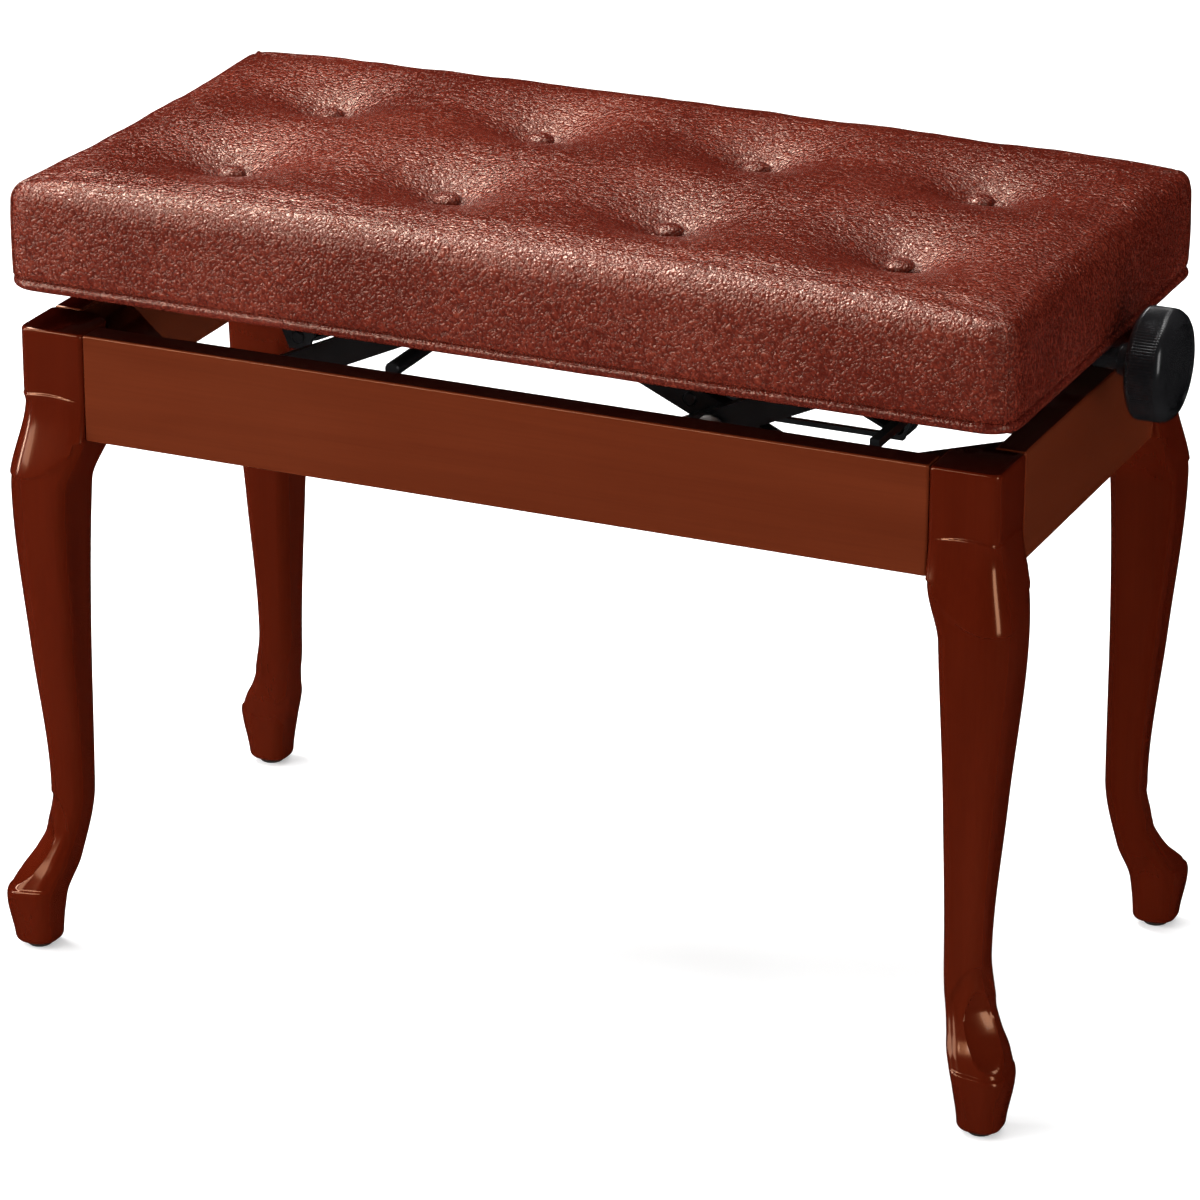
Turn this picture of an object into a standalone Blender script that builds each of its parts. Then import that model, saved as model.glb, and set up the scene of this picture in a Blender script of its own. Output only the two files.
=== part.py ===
"""Adjustable piano bench: cabriole-legged wooden base, steel scissor lift and a buttoned, upholstered seat.

Metres, +Z up, the floor at z = 0, the front at -Y. The seat is at its lowest setting.
Shapes are drawn about the middle of the wooden frame and moved at the end to centre the whole width.
"""

from math import asin, cos, exp, pi, radians, sin

import bmesh
import bpy
from mathutils import Vector

# Overall sizes
SEAT_LENGTH = 0.610
SEAT_DEPTH = 0.312
SEAT_BOTTOM = 0.410
SEAT_EDGE_TOP = 0.468
FRAME_HALF_LENGTH = 0.297
FRAME_HALF_DEPTH = 0.150
APRON_TOP = 0.387
APRON_HEIGHT = 0.064
APRON_THICKNESS = 0.018
POST_SIDE = 0.040
GAP = 0.0003

# Wooden frame, worked out
APRON_BOTTOM = APRON_TOP - APRON_HEIGHT
POST_INNER_X = FRAME_HALF_LENGTH - POST_SIDE
POST_INNER_Y = FRAME_HALF_DEPTH - POST_SIDE
RAIL_INNER_X = FRAME_HALF_LENGTH - APRON_THICKNESS
RAIL_INNER_Y = FRAME_HALF_DEPTH - APRON_THICKNESS
GLIDE_HEIGHT = 0.003
GLIDE_RADIUS = 0.008
BLOCK_THICKNESS = 0.024
BLOCK_BOTTOM = 0.334
BLOCK_TOP = 0.374
BOLT_Z = 0.354
BOLT_RADIUS = 0.003

# Lift: two parallel pairs of rising arms, and a falling pair that crosses the right one at its middle
REST_ANGLE = radians(24.5)
LIFT = 0.072
LOWER_Z = 0.331
UPPER_Z = 0.390
ARM_LENGTH = (UPPER_Z - LOWER_Z) / sin(REST_ANGLE)
ARM_SPAN = ARM_LENGTH * cos(REST_ANGLE)
TOP_ANGLE = asin((UPPER_Z - LOWER_Z + LIFT) / ARM_LENGTH)
SLIDE = ARM_SPAN - ARM_LENGTH * cos(TOP_ANGLE)
CROSS_X = 0.0994
ARM_PITCH = 0.2529
MID_SHAFT_X = CROSS_X - ARM_SPAN / 2
RIGHT_SHAFT_X = CROSS_X + ARM_SPAN / 2
LEFT_LOW_X = MID_SHAFT_X - ARM_PITCH
LEFT_HIGH_X = RIGHT_SHAFT_X - ARM_PITCH
ARM_HALF_WIDTH = 0.0083
ARM_DEPTH = 0.010
ARM_WALL = 0.0022
OUTER_ARM_Y = 0.072
INNER_ARM_Y = 0.060
SHAFT_RADIUS = 0.004
TIE_SHARE = 0.35
TIE_ROD_X = -0.072
TIE_ROD_Z = 0.386
TIE_ROD_RADIUS = 0.0045
RUNNING = 0.0003
WEB_OUTER_Y = 0.047
WEB_INNER_Y = 0.044
FLANGE_INNER_Y = 0.030
STEEL = 0.003
GUIDE_INNER_Y = 0.043
GUIDE_BOTTOM = 0.3235
GUIDE_TOP = 0.3475
GUIDE_TAIL_BOTTOM = 0.3375
GUIDE_HOUSING = 0.006
SEAT_ANGLE_ENDS = (-0.180, 0.186)
SEAT_ANGLE_BOTTOM = 0.3785
LONG_ROD_HALF = 0.128
WIDE_SHAFT_HALF = 0.076
NARROW_SHAFT_HALF = 0.064
PIVOT_PIN = (0.0415, 0.0755)

# Spindle and knob
SPINDLE_Y = 0.015
SPINDLE_Z = 0.402
SPINDLE_RADIUS = 0.004
SPINDLE_LEFT = LEFT_HIGH_X - SLIDE - 0.014
BEARING_X = 0.217
BEARING_HALF = 0.0028
BEARING_LOW = 0.3835
BEARING_HIGH = 0.3885
KNOB_BACK = 0.3175
KNOB_FRONT = 0.3415
KNOB_RADIUS = 0.032
KNOB_RIBS = 30
HUB_BACK = 0.3085

# Seat
BOARD_BOTTOM = 0.4115
BOARD_TOP = 0.4265
BOARD_HALF_X = 0.2955
BOARD_HALF_Y = 0.1465
PIPING_RADIUS = 0.0035
SEAT_HALF_X = SEAT_LENGTH / 2 - PIPING_RADIUS
SEAT_HALF_Y = SEAT_DEPTH / 2 - PIPING_RADIUS
SEAT_CORNER = 0.016
EDGE_RADIUS = 0.012
CUSHION_BOTTOM = SEAT_BOTTOM + 2 * PIPING_RADIUS + GAP
CROWN = 0.011
BUTTON_COLUMNS = (-0.2045, -0.0680, 0.0680, 0.2045)
BUTTON_ROWS = (-0.063, 0.063)
BUTTON_RADIUS = 0.0085
BUTTON_SINK = 0.013
DIMPLE_FLOOR = 0.0145
DIMPLE_RADIUS = 0.017

SIDES = {"front": -1, "rear": 1}
ENDS = {"left": -1, "right": 1}

WOOD = ("wood", (0.17, 0.045, 0.018), 0.25, 0.0)
LEATHER = ("leather", (0.16, 0.030, 0.020), 0.45, 0.0)
TRIM = ("piping", (0.19, 0.045, 0.030), 0.45, 0.0)
PLY = ("plywood", (0.45, 0.31, 0.18), 0.7, 0.0)
BLACK_STEEL = ("black_steel", (0.02, 0.02, 0.022), 0.4, 0.8)
BRIGHT_STEEL = ("zinc_steel", (0.55, 0.55, 0.53), 0.35, 1.0)
BLACK_PLASTIC = ("black_plastic", (0.015, 0.015, 0.016), 0.25, 0.0)
GLIDE_PLASTIC = ("glide", (0.10, 0.08, 0.07), 0.6, 0.0)


def clear_scene():
    for item in list(bpy.data.objects):
        bpy.data.objects.remove(item)


def material(name, colour, roughness, metallic):
    made = bpy.data.materials.new(name)
    made.use_nodes = True
    shader = made.node_tree.nodes["Principled BSDF"]
    shader.inputs["Base Color"].default_value = (*colour, 1.0)
    shader.inputs["Roughness"].default_value = roughness
    shader.inputs["Metallic"].default_value = metallic
    return made


def add_object(name, mesh_builder, look, smooth=False, origin=(0, 0, 0)):
    """Links a new object from a bmesh in world coordinates, with its origin moved to the given point."""
    bmesh.ops.recalc_face_normals(mesh_builder, faces=mesh_builder.faces)
    bmesh.ops.translate(mesh_builder, verts=mesh_builder.verts, vec=-Vector(origin))
    for face in mesh_builder.faces:
        face.smooth = smooth
    mesh = bpy.data.meshes.new(name)
    mesh_builder.to_mesh(mesh)
    mesh_builder.free()
    item = bpy.data.objects.new(name, mesh)
    item.location = origin
    mesh.materials.append(material(f"{look[0]}_{name}", *look[1:]))
    bpy.context.scene.collection.objects.link(item)
    return item


def loft(rings, closed_ring=False):
    """Skins a list of equal-length point rings; open stacks get end caps."""
    made = bmesh.new()
    rows = [[made.verts.new(point) for point in ring] for ring in rings]
    count = len(rows[0])
    pairs = list(zip(rows, rows[1:]))
    if closed_ring:
        pairs.append((rows[-1], rows[0]))
    for first, second in pairs:
        for i in range(count):
            j = (i + 1) % count
            made.faces.new((first[i], first[j], second[j], second[i]))
    if not closed_ring:
        made.faces.new(rows[0])
        made.faces.new(list(reversed(rows[-1])))
    return made


def prism(outline, axis, low, high):
    """Extrudes a 2D outline along X, Y or Z; the outline holds the two other coordinates in X, Y, Z order."""
    def place(point, along):
        values = list(point)
        values.insert("xyz".index(axis), along)
        return values

    return loft([[place(p, low) for p in outline], [place(p, high) for p in outline]])


def box(low, high):
    outline = [(low[0], low[1]), (high[0], low[1]), (high[0], high[1]), (low[0], high[1])]
    return prism(outline, "z", low[2], high[2])


def circle(centre, radius, segments=20):
    turn = 2 * pi / segments
    return [
        (centre[0] + radius * cos(turn * i), centre[1] + radius * sin(turn * i)) for i in range(segments)
    ]


def stadium(start, end, radius, segments=12):
    """Outline of a slot: two half circles around two points."""
    start, end = Vector(start), Vector(end)
    along = (end - start).normalized()
    across = Vector((-along.y, along.x))
    points = []
    for centre, sense in ((end, 1), (start, -1)):
        for i in range(segments + 1):
            angle = -pi / 2 + pi * i / segments
            points.append(centre + sense * radius * (cos(angle) * along + sin(angle) * across))
    return [tuple(point) for point in points]


def join(*parts):
    """Puts several bmeshes into one, as for a cutter with several tools."""
    whole = parts[0]
    for part in parts[1:]:
        mesh = bpy.data.meshes.new("piece")
        part.to_mesh(mesh)
        part.free()
        whole.from_mesh(mesh)
        bpy.data.meshes.remove(mesh)
    return whole


def combine(target, tool_mesh, operation="DIFFERENCE"):
    """Adds an exact Boolean whose tool is hidden from the model."""
    tool = add_object(f"{operation.lower()}_{target.name}", tool_mesh, BLACK_STEEL)
    tool.hide_render = True
    tool.display_type = "WIRE"
    change = target.modifiers.new(operation.title(), "BOOLEAN")
    change.object = tool
    change.operation = operation
    change.solver = "EXACT"


def smooth_value(stations, z):
    """Smooth curve through (z, value) stations listed from low to high, level at both ends."""
    if z <= stations[0][0]:
        return stations[0][1]
    if z >= stations[-1][0]:
        return stations[-1][1]
    i = max(k for k, (height, _) in enumerate(stations) if height <= z)
    (z0, a), (z1, b) = stations[i], stations[i + 1]

    def slope(k):
        if k in (0, len(stations) - 1):
            return 0.0
        below, here, above = stations[k - 1], stations[k], stations[k + 1]
        first = (here[1] - below[1]) / (here[0] - below[0])
        second = (above[1] - here[1]) / (above[0] - here[0])
        return 0.0 if first * second <= 0 else 2 * first * second / (first + second)

    t = (z - z0) / (z1 - z0)
    start, end = slope(i) * (z1 - z0), slope(i + 1) * (z1 - z0)
    return (
        a * (2 * t ** 3 - 3 * t ** 2 + 1) + start * (t ** 3 - 2 * t ** 2 + t)
        + b * (3 * t ** 2 - 2 * t ** 3) + end * (t ** 3 - t ** 2)
    )


# Cabriole leg: how far the outer corner stands out from the frame's outer faces, how far the inner
# corner stands in from them, and the rounding of the outer corner, at each key height
SOLE_Z = 0.0033
TOE_Z = 0.026
INSTEP_Z = 0.054
ANKLE_Z = 0.098
CALF_Z = 0.190
KNEE_Z = 0.290
PANEL_TOP_Z = 0.346
LEG_OUTER = [
    (SOLE_Z, 0.0120), (TOE_Z, 0.0178), (INSTEP_Z, 0.0058), (ANKLE_Z, -0.0038), (CALF_Z, 0.0030),
    (KNEE_Z, 0.0112), (PANEL_TOP_Z, 0.0012), (PANEL_TOP_Z + 0.003, 0.0005),
]
LEG_INNER = [
    (SOLE_Z, 0.0100), (TOE_Z, 0.0138), (INSTEP_Z, 0.0212), (ANKLE_Z, 0.0274), (CALF_Z, 0.0280),
    (KNEE_Z, 0.0306), (APRON_BOTTOM, POST_SIDE),
]
LEG_ARRIS = [
    (SOLE_Z, 0.009), (TOE_Z, 0.013), (INSTEP_Z, 0.015), (ANKLE_Z, 0.008), (KNEE_Z, 0.015),
    (PANEL_TOP_Z, 0.010),
]


def leg_heights():
    """Section heights: close together in the foot and the knee, wide apart in the shaft."""
    stretches = [
        (SOLE_Z, TOE_Z, 3), (TOE_Z, INSTEP_Z, 3), (INSTEP_Z, ANKLE_Z, 4), (ANKLE_Z, KNEE_Z, 6),
        (KNEE_Z, PANEL_TOP_Z, 6),
    ]
    heights = [low + (high - low) * i / count for low, high, count in stretches for i in range(count)]
    return heights + [PANEL_TOP_Z, PANEL_TOP_Z + 0.003, APRON_TOP]


def leg_section(z):
    """Rounded square at one height, as outward offsets from the frame's outer faces."""
    outer = smooth_value(LEG_OUTER, z)
    inner = -smooth_value(LEG_INNER, z)
    arris = smooth_value(LEG_ARRIS, z)
    soft = 0.006 if z < APRON_BOTTOM else 0.003
    corners = [
        (outer, outer, arris, 0), (inner, outer, soft, 90),
        (inner, inner, 0.009, 180), (outer, inner, soft, 270),
    ]
    points = []
    for x, y, radius, start in corners:
        centre_x = x - radius * (1 if start in (0, 270) else -1)
        centre_y = y - radius * (1 if start in (0, 90) else -1)
        for step in range(5):
            angle = radians(start + 22.5 * step)
            points.append((centre_x + radius * cos(angle), centre_y + radius * sin(angle)))
    return points


def build_leg(name, sign_x, sign_y):
    rings = [
        [
            (sign_x * (FRAME_HALF_LENGTH + a), sign_y * (FRAME_HALF_DEPTH + b), z)
            for a, b in leg_section(z)
        ]
        for z in leg_heights()
    ]
    leg = add_object(f"leg_{name}", loft(rings), WOOD, smooth=True)
    combine(leg, bolt_shank(sign_x, sign_y, BOLT_RADIUS + RUNNING, 0.020, -0.034))


def diagonal_rings(sign_x, sign_y, stations, segments):
    """Rings about a corner's diagonal at bolt height; stations are (distance outward of the post, radius)."""
    diagonal = Vector((sign_x, sign_y, 0)).normalized()
    side = Vector((-diagonal.y, diagonal.x, 0))
    corner = Vector((sign_x * POST_INNER_X, sign_y * POST_INNER_Y, BOLT_Z))
    rings = []
    for along, radius in stations:
        middle = corner + diagonal * along
        ring = [middle + side * a + Vector((0, 0, b)) for a, b in circle((0, 0), radius, segments)]
        rings.append(ring)
    return rings


def bolt_shank(sign_x, sign_y, radius, inward, outward):
    """Cylinder along a corner's diagonal, from inside the frame to inside the post."""
    return loft(diagonal_rings(sign_x, sign_y, [(-inward, radius), (-outward, radius)], 16))


def build_leg_bolt(name, sign_x, sign_y):
    """Bolt with a washer-faced hex head on the corner block's inner face."""
    face = -(BLOCK_THICKNESS + 0.0018)
    stations = [(face - 0.0062, 0.0056), (face - 0.0016, 0.0056), (face - 0.0014, 0.0085), (face, 0.0085)]
    stations += [(face + 0.0002, BOLT_RADIUS), (0.028, BOLT_RADIUS)]
    add_object(f"leg_bolt_{name}", loft(diagonal_rings(sign_x, sign_y, stations, 12)), BRIGHT_STEEL)


def build_corner_block(name, sign_x, sign_y):
    """Diagonal brace glued between two rails just inside the post."""
    near = POST_INNER_X + POST_INNER_Y - 0.001
    far = near - BLOCK_THICKNESS * 2 ** 0.5
    x_edge, y_edge = RAIL_INNER_X - GAP, RAIL_INNER_Y - GAP
    outline = [(near - y_edge, y_edge), (x_edge, near - x_edge)]
    outline += [(x_edge, far - x_edge), (far - y_edge, y_edge)]
    outline = [(sign_x * x, sign_y * y) for x, y in outline]
    block = add_object(f"corner_block_{name}", prism(outline, "z", BLOCK_BOTTOM, BLOCK_TOP), WOOD)
    combine(block, bolt_shank(sign_x, sign_y, BOLT_RADIUS + RUNNING, 0.040, -0.010))


def build_glide(name, sign_x, sign_y):
    centre = (sign_x * (FRAME_HALF_LENGTH + 0.001), sign_y * (FRAME_HALF_DEPTH + 0.001))
    rings = [
        [(x, y, z) for x, y in circle(centre, radius, 20)]
        for z, radius in ((0.0, GLIDE_RADIUS - 0.001), (0.001, GLIDE_RADIUS), (GLIDE_HEIGHT, GLIDE_RADIUS))
    ]
    add_object(f"foot_glide_{name}", loft(rings), GLIDE_PLASTIC)


def rail_profile(outer, inner, sign):
    """Rail cross-section with small chamfers on its long edges."""
    c = 0.0015
    low, high = APRON_BOTTOM, APRON_TOP
    points = [(inner + c, low), (outer - c, low), (outer, low + c), (outer, high - c)]
    points += [(outer - c, high), (inner + c, high), (inner, high - c), (inner, low + c)]
    return [(sign * depth, z) for depth, z in points]


def housing(sign_x, sign_y):
    """Cutter for the slot in a side rail that takes the end of a base guide."""
    x_range = sorted((sign_x * (RAIL_INNER_X - 0.002), sign_x * (RAIL_INNER_X + GUIDE_HOUSING + GAP)))
    y_range = sorted((sign_y * (GUIDE_INNER_Y - GAP), sign_y * (WEB_OUTER_Y + GAP)))
    low, high = zip(x_range, y_range, (GUIDE_TAIL_BOTTOM - GAP, GUIDE_TOP + GAP))
    return box(low, high)


def build_aprons():
    half = POST_INNER_X - GAP
    for name, sign in SIDES.items():
        profile = rail_profile(FRAME_HALF_DEPTH, RAIL_INNER_Y, sign)
        add_object(f"apron_{name}", prism(profile, "x", -half, half), WOOD)
    half = POST_INNER_Y - GAP
    for name, sign in ENDS.items():
        profile = rail_profile(FRAME_HALF_LENGTH, RAIL_INNER_X, sign)
        rail = add_object(f"apron_{name}", prism(profile, "y", -half, half), WOOD)
        combine(rail, join(housing(sign, -1), housing(sign, 1)))


def build_wooden_frame():
    for side, sign_y in SIDES.items():
        for end, sign_x in ENDS.items():
            name = f"{side}_{end}"
            build_leg(name, sign_x, sign_y)
            build_corner_block(name, sign_x, sign_y)
            build_leg_bolt(name, sign_x, sign_y)
            build_glide(name, sign_x, sign_y)
    build_aprons()


def build_arm(name, low, high, outer_y, sign, holes):
    """Pressed steel arm: a rounded tray with its open side inward and a hole at each pivot."""
    inner_y = outer_y - ARM_DEPTH
    faces = sorted((sign * outer_y, sign * inner_y))
    shape = prism(stadium(low, high, ARM_HALF_WIDTH), "y", *faces)
    arm = add_object(name, shape, BLACK_STEEL, origin=(low[0], 0, low[1]))
    hollow = sorted((sign * (outer_y - ARM_WALL), sign * (inner_y - 0.002)))
    pocket = prism(stadium(low, high, ARM_HALF_WIDTH - ARM_WALL), "y", *hollow)
    combine(arm, pocket)
    through = sorted((sign * (outer_y + 0.002), sign * (inner_y - 0.004)))
    bores = [prism(circle(centre, SHAFT_RADIUS + RUNNING), "y", *through) for centre in holes]
    combine(arm, join(*bores))
    return arm


def build_arms():
    """Left, rising and falling pairs; the falling arms end in studs that slide in the base guides."""
    middle = (CROSS_X, (LOWER_Z + UPPER_Z) / 2)
    for name, sign in SIDES.items():
        low, high = (LEFT_LOW_X, LOWER_Z), (LEFT_HIGH_X, UPPER_Z)
        build_arm(f"arm_left_{name}", low, high, OUTER_ARM_Y, sign, (low, high))
        low, high = (MID_SHAFT_X, LOWER_Z), (RIGHT_SHAFT_X, UPPER_Z)
        build_arm(f"arm_rising_{name}", low, high, OUTER_ARM_Y, sign, (low, middle, high))
        low, high = (RIGHT_SHAFT_X, LOWER_Z), (MID_SHAFT_X, UPPER_Z)
        falling = build_arm(f"arm_falling_{name}", low, high, INNER_ARM_Y, sign, (middle, tie_centre(), high))
        reach = sorted((sign * PIVOT_PIN[0], sign * (INNER_ARM_Y - ARM_WALL / 2)))
        combine(falling, prism(circle(low, SHAFT_RADIUS), "y", *reach), "UNION")


def tie_centre():
    """Place of the tie between the two falling arms, a third of the way down from the seat."""
    return (MID_SHAFT_X + TIE_SHARE * ARM_SPAN, UPPER_Z - TIE_SHARE * (UPPER_Z - LOWER_Z))


def build_shaft(name, x, z, y_low, y_high, radius=SHAFT_RADIUS):
    """Round shaft with small chamfers, along Y."""
    chamfer = 0.0008
    stations = [
        (y_low, radius - chamfer), (y_low + chamfer, radius),
        (y_high - chamfer, radius), (y_high, radius - chamfer),
    ]
    rings = [[(a, y, b) for a, b in circle((x, z), reach)] for y, reach in stations]
    add_object(name, loft(rings), BRIGHT_STEEL, origin=(x, 0, z))


def build_shafts():
    build_shaft("seat_pivot_shaft", MID_SHAFT_X, UPPER_Z, -NARROW_SHAFT_HALF, NARROW_SHAFT_HALF)
    build_shaft("upper_slide_shaft_left", LEFT_HIGH_X, UPPER_Z, -WIDE_SHAFT_HALF, WIDE_SHAFT_HALF)
    build_shaft("upper_slide_shaft_right", RIGHT_SHAFT_X, UPPER_Z, -WIDE_SHAFT_HALF, WIDE_SHAFT_HALF)
    build_shaft("falling_arm_tie", *tie_centre(), -INNER_ARM_Y - 0.0008, INNER_ARM_Y + 0.0008)
    build_shaft("seat_tie_rod", TIE_ROD_X, TIE_ROD_Z, -LONG_ROD_HALF, LONG_ROD_HALF, TIE_ROD_RADIUS)
    for name, sign in SIDES.items():
        near, far = sorted(sign * y for y in PIVOT_PIN)
        build_shaft(f"base_pivot_left_{name}", LEFT_LOW_X, LOWER_Z, near, far)
        build_shaft(f"base_pivot_middle_{name}", MID_SHAFT_X, LOWER_Z, near, far)
        near, far = sorted((sign * 0.0495, sign * 0.0755))
        build_shaft(f"cross_pin_{name}", CROSS_X, (LOWER_Z + UPPER_Z) / 2, near, far)


def angle_outline(sign, foot_z, tip_z):
    """L section: an upright web and a flange turned inward at foot_z."""
    step = STEEL if tip_z > foot_z else -STEEL
    points = [
        (FLANGE_INNER_Y, foot_z), (WEB_OUTER_Y, foot_z), (WEB_OUTER_Y, tip_z),
        (WEB_INNER_Y, tip_z), (WEB_INNER_Y, foot_z + step), (FLANGE_INNER_Y, foot_z + step),
    ]
    return [(sign * y, z) for y, z in points]


def guide_outline():
    """Side view of a base guide: deep round its pivots and slot, slimmer between them and towards both ends."""
    half = RAIL_INNER_X + GUIDE_HOUSING
    deep = ((LEFT_LOW_X - 0.012, LEFT_LOW_X + 0.012), (MID_SHAFT_X - 0.012, RIGHT_SHAFT_X + 0.011))
    outline = [(-half, GUIDE_TAIL_BOTTOM)]
    for left, right in deep:
        outline += [(left, GUIDE_TAIL_BOTTOM), (left + 0.006, GUIDE_BOTTOM)]
        outline += [(right - 0.006, GUIDE_BOTTOM), (right, GUIDE_TAIL_BOTTOM)]
    return outline + [(half, GUIDE_TAIL_BOTTOM), (half, GUIDE_TOP), (-half, GUIDE_TOP)]


def build_guides():
    """Slotted flat bars let into the side rails, and slotted angles under the seat board."""
    bore = SHAFT_RADIUS + RUNNING
    slot = SHAFT_RADIUS + 0.0005
    travel = SLIDE + 0.001
    for name, sign in SIDES.items():
        reach = sorted((sign * 0.040, sign * 0.050))
        low_y, high_y = sorted((sign * GUIDE_INNER_Y, sign * WEB_OUTER_Y))
        bar = prism(guide_outline(), "y", low_y, high_y)
        base = add_object(f"base_guide_{name}", bar, BLACK_STEEL)
        tools = [prism(circle((x, LOWER_Z), bore), "y", *reach) for x in (LEFT_LOW_X, MID_SHAFT_X)]
        low, high = (RIGHT_SHAFT_X - travel, LOWER_Z), (RIGHT_SHAFT_X + 0.001, LOWER_Z)
        tools.append(prism(stadium(low, high, slot), "y", *reach))
        combine(base, join(*tools))
        outline = angle_outline(sign, BOARD_BOTTOM - GAP, SEAT_ANGLE_BOTTOM)
        seat = add_object(f"seat_angle_{name}", prism(outline, "x", *SEAT_ANGLE_ENDS), BLACK_STEEL)
        tools = [prism(circle((MID_SHAFT_X, UPPER_Z), bore), "y", *reach)]
        for x in (LEFT_HIGH_X, RIGHT_SHAFT_X):
            tools.append(prism(stadium((x - travel, UPPER_Z), (x + 0.001, UPPER_Z), slot), "y", *reach))
        tools.append(prism(circle((TIE_ROD_X, TIE_ROD_Z), TIE_ROD_RADIUS + RUNNING), "y", *reach))
        combine(seat, join(*tools))


def build_nuts():
    """Blocks threaded on the spindle and carried on the two upper sliding shafts."""
    for name, x in (("left", LEFT_HIGH_X), ("right", RIGHT_SHAFT_X)):
        half_x, half_y = 0.0075, 0.010
        shape = box((x - half_x, SPINDLE_Y - half_y, 0.3825), (x + half_x, SPINDLE_Y + half_y, 0.4095))
        nut = add_object(f"spindle_nut_{name}", shape, BRIGHT_STEEL, origin=(x, 0, UPPER_Z))
        ends = (SPINDLE_Y - half_y - 0.002, SPINDLE_Y + half_y + 0.002)
        shaft_bore = prism(circle((x, UPPER_Z), SHAFT_RADIUS + RUNNING), "y", *ends)
        ends = (x - half_x - 0.002, x + half_x + 0.002)
        screw_bore = prism(circle((SPINDLE_Y, SPINDLE_Z), SPINDLE_RADIUS + RUNNING), "x", *ends)
        combine(nut, join(shaft_bore, screw_bore))


def build_bearing_bar():
    """Cross bar hung from the seat board, with the block that the spindle turns in."""
    low, high = BEARING_X - BEARING_HALF, BEARING_X + BEARING_HALF
    under_board = BOARD_BOTTOM - GAP
    outline = [(-LONG_ROD_HALF, BEARING_LOW), (LONG_ROD_HALF, BEARING_LOW), (LONG_ROD_HALF, BEARING_HIGH)]
    for centre, half in ((0.080, 0.006), (SPINDLE_Y, 0.011), (-0.080, 0.006)):
        outline += [(centre + half, BEARING_HIGH), (centre + half, under_board)]
        outline += [(centre - half, under_board), (centre - half, BEARING_HIGH)]
    outline.append((-LONG_ROD_HALF, BEARING_HIGH))
    bar = add_object("bearing_bar", prism(outline, "x", low, high), BLACK_STEEL)
    bore = circle((SPINDLE_Y, SPINDLE_Z), SPINDLE_RADIUS + RUNNING)
    combine(bar, prism(bore, "x", low - 0.002, high + 0.002))


def turned(stations, segments=32, rib=0.0):
    """Solid of revolution about the spindle axis from (x, radius) stations; rib alternates the rim radius."""
    rings = []
    for x, radius, ribbed in stations:
        ring = []
        for i in range(segments):
            angle = 2 * pi * i / segments
            reach = radius - (rib if ribbed and i % 2 else 0.0)
            ring.append((x, SPINDLE_Y + reach * cos(angle), SPINDLE_Z + reach * sin(angle)))
        rings.append(ring)
    return loft(rings)


def build_spindle():
    axis = (0, SPINDLE_Y, SPINDLE_Z)
    rod = [
        (SPINDLE_LEFT, SPINDLE_RADIUS - 0.001, False), (SPINDLE_LEFT + 0.001, SPINDLE_RADIUS, False),
        (HUB_BACK - GAP, SPINDLE_RADIUS, False),
    ]
    add_object("spindle", turned(rod, 20), BRIGHT_STEEL, origin=axis)
    starts = {"inner": BEARING_X - BEARING_HALF - 0.0085, "outer": BEARING_X + BEARING_HALF + 0.0005}
    for name, low in starts.items():
        shape = turned([(low, 0.0085, False), (low + 0.008, 0.0085, False)], 20)
        collar = add_object(f"thrust_collar_{name}", shape, BRIGHT_STEEL, origin=axis)
        bore = SPINDLE_RADIUS + RUNNING
        combine(collar, turned([(low - 0.001, bore, False), (low + 0.009, bore, False)], 20))


def build_knob():
    axis = (0, SPINDLE_Y, SPINDLE_Z)
    rim_back, rim_front = KNOB_BACK + 0.003, KNOB_FRONT - 0.0035
    shell = [
        (HUB_BACK, 0.010, False), (KNOB_BACK, 0.010, False), (KNOB_BACK + 0.0001, KNOB_RADIUS - 0.004, False),
        (rim_back, KNOB_RADIUS, True), (rim_front, KNOB_RADIUS, True),
        (KNOB_FRONT, KNOB_RADIUS - 0.005, False), (KNOB_FRONT - 0.0005, KNOB_RADIUS - 0.007, False),
        (KNOB_FRONT - 0.0025, KNOB_RADIUS - 0.008, False),
    ]
    add_object("knob", turned(shell, 2 * KNOB_RIBS, 0.0012), BLACK_PLASTIC, origin=axis)
    seat = KNOB_FRONT - 0.0025 + GAP
    cap = [
        (seat, KNOB_RADIUS - 0.009, False), (seat + 0.0012, KNOB_RADIUS - 0.009, False),
        (seat + 0.0020, KNOB_RADIUS - 0.0105, False),
    ]
    add_object("knob_cap", turned(cap, 36), BLACK_PLASTIC, origin=axis)


def rounded_rectangle(half_x, half_y, radius, steps=4):
    """Points around a rounded rectangle, anticlockwise from the +X side's lower end."""
    points = []
    for sign_x, sign_y, start in ((1, 1, 0), (-1, 1, 90), (-1, -1, 180), (1, -1, 270)):
        for step in range(steps + 1):
            angle = radians(start + 90 * step / steps)
            x = sign_x * (half_x - radius) + radius * cos(angle)
            y = sign_y * (half_y - radius) + radius * sin(angle)
            points.append((x, y))
    return points


def build_board():
    outline = rounded_rectangle(BOARD_HALF_X, BOARD_HALF_Y, 0.010)
    add_object("seat_board", prism(outline, "z", BOARD_BOTTOM, BOARD_TOP), PLY)


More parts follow.
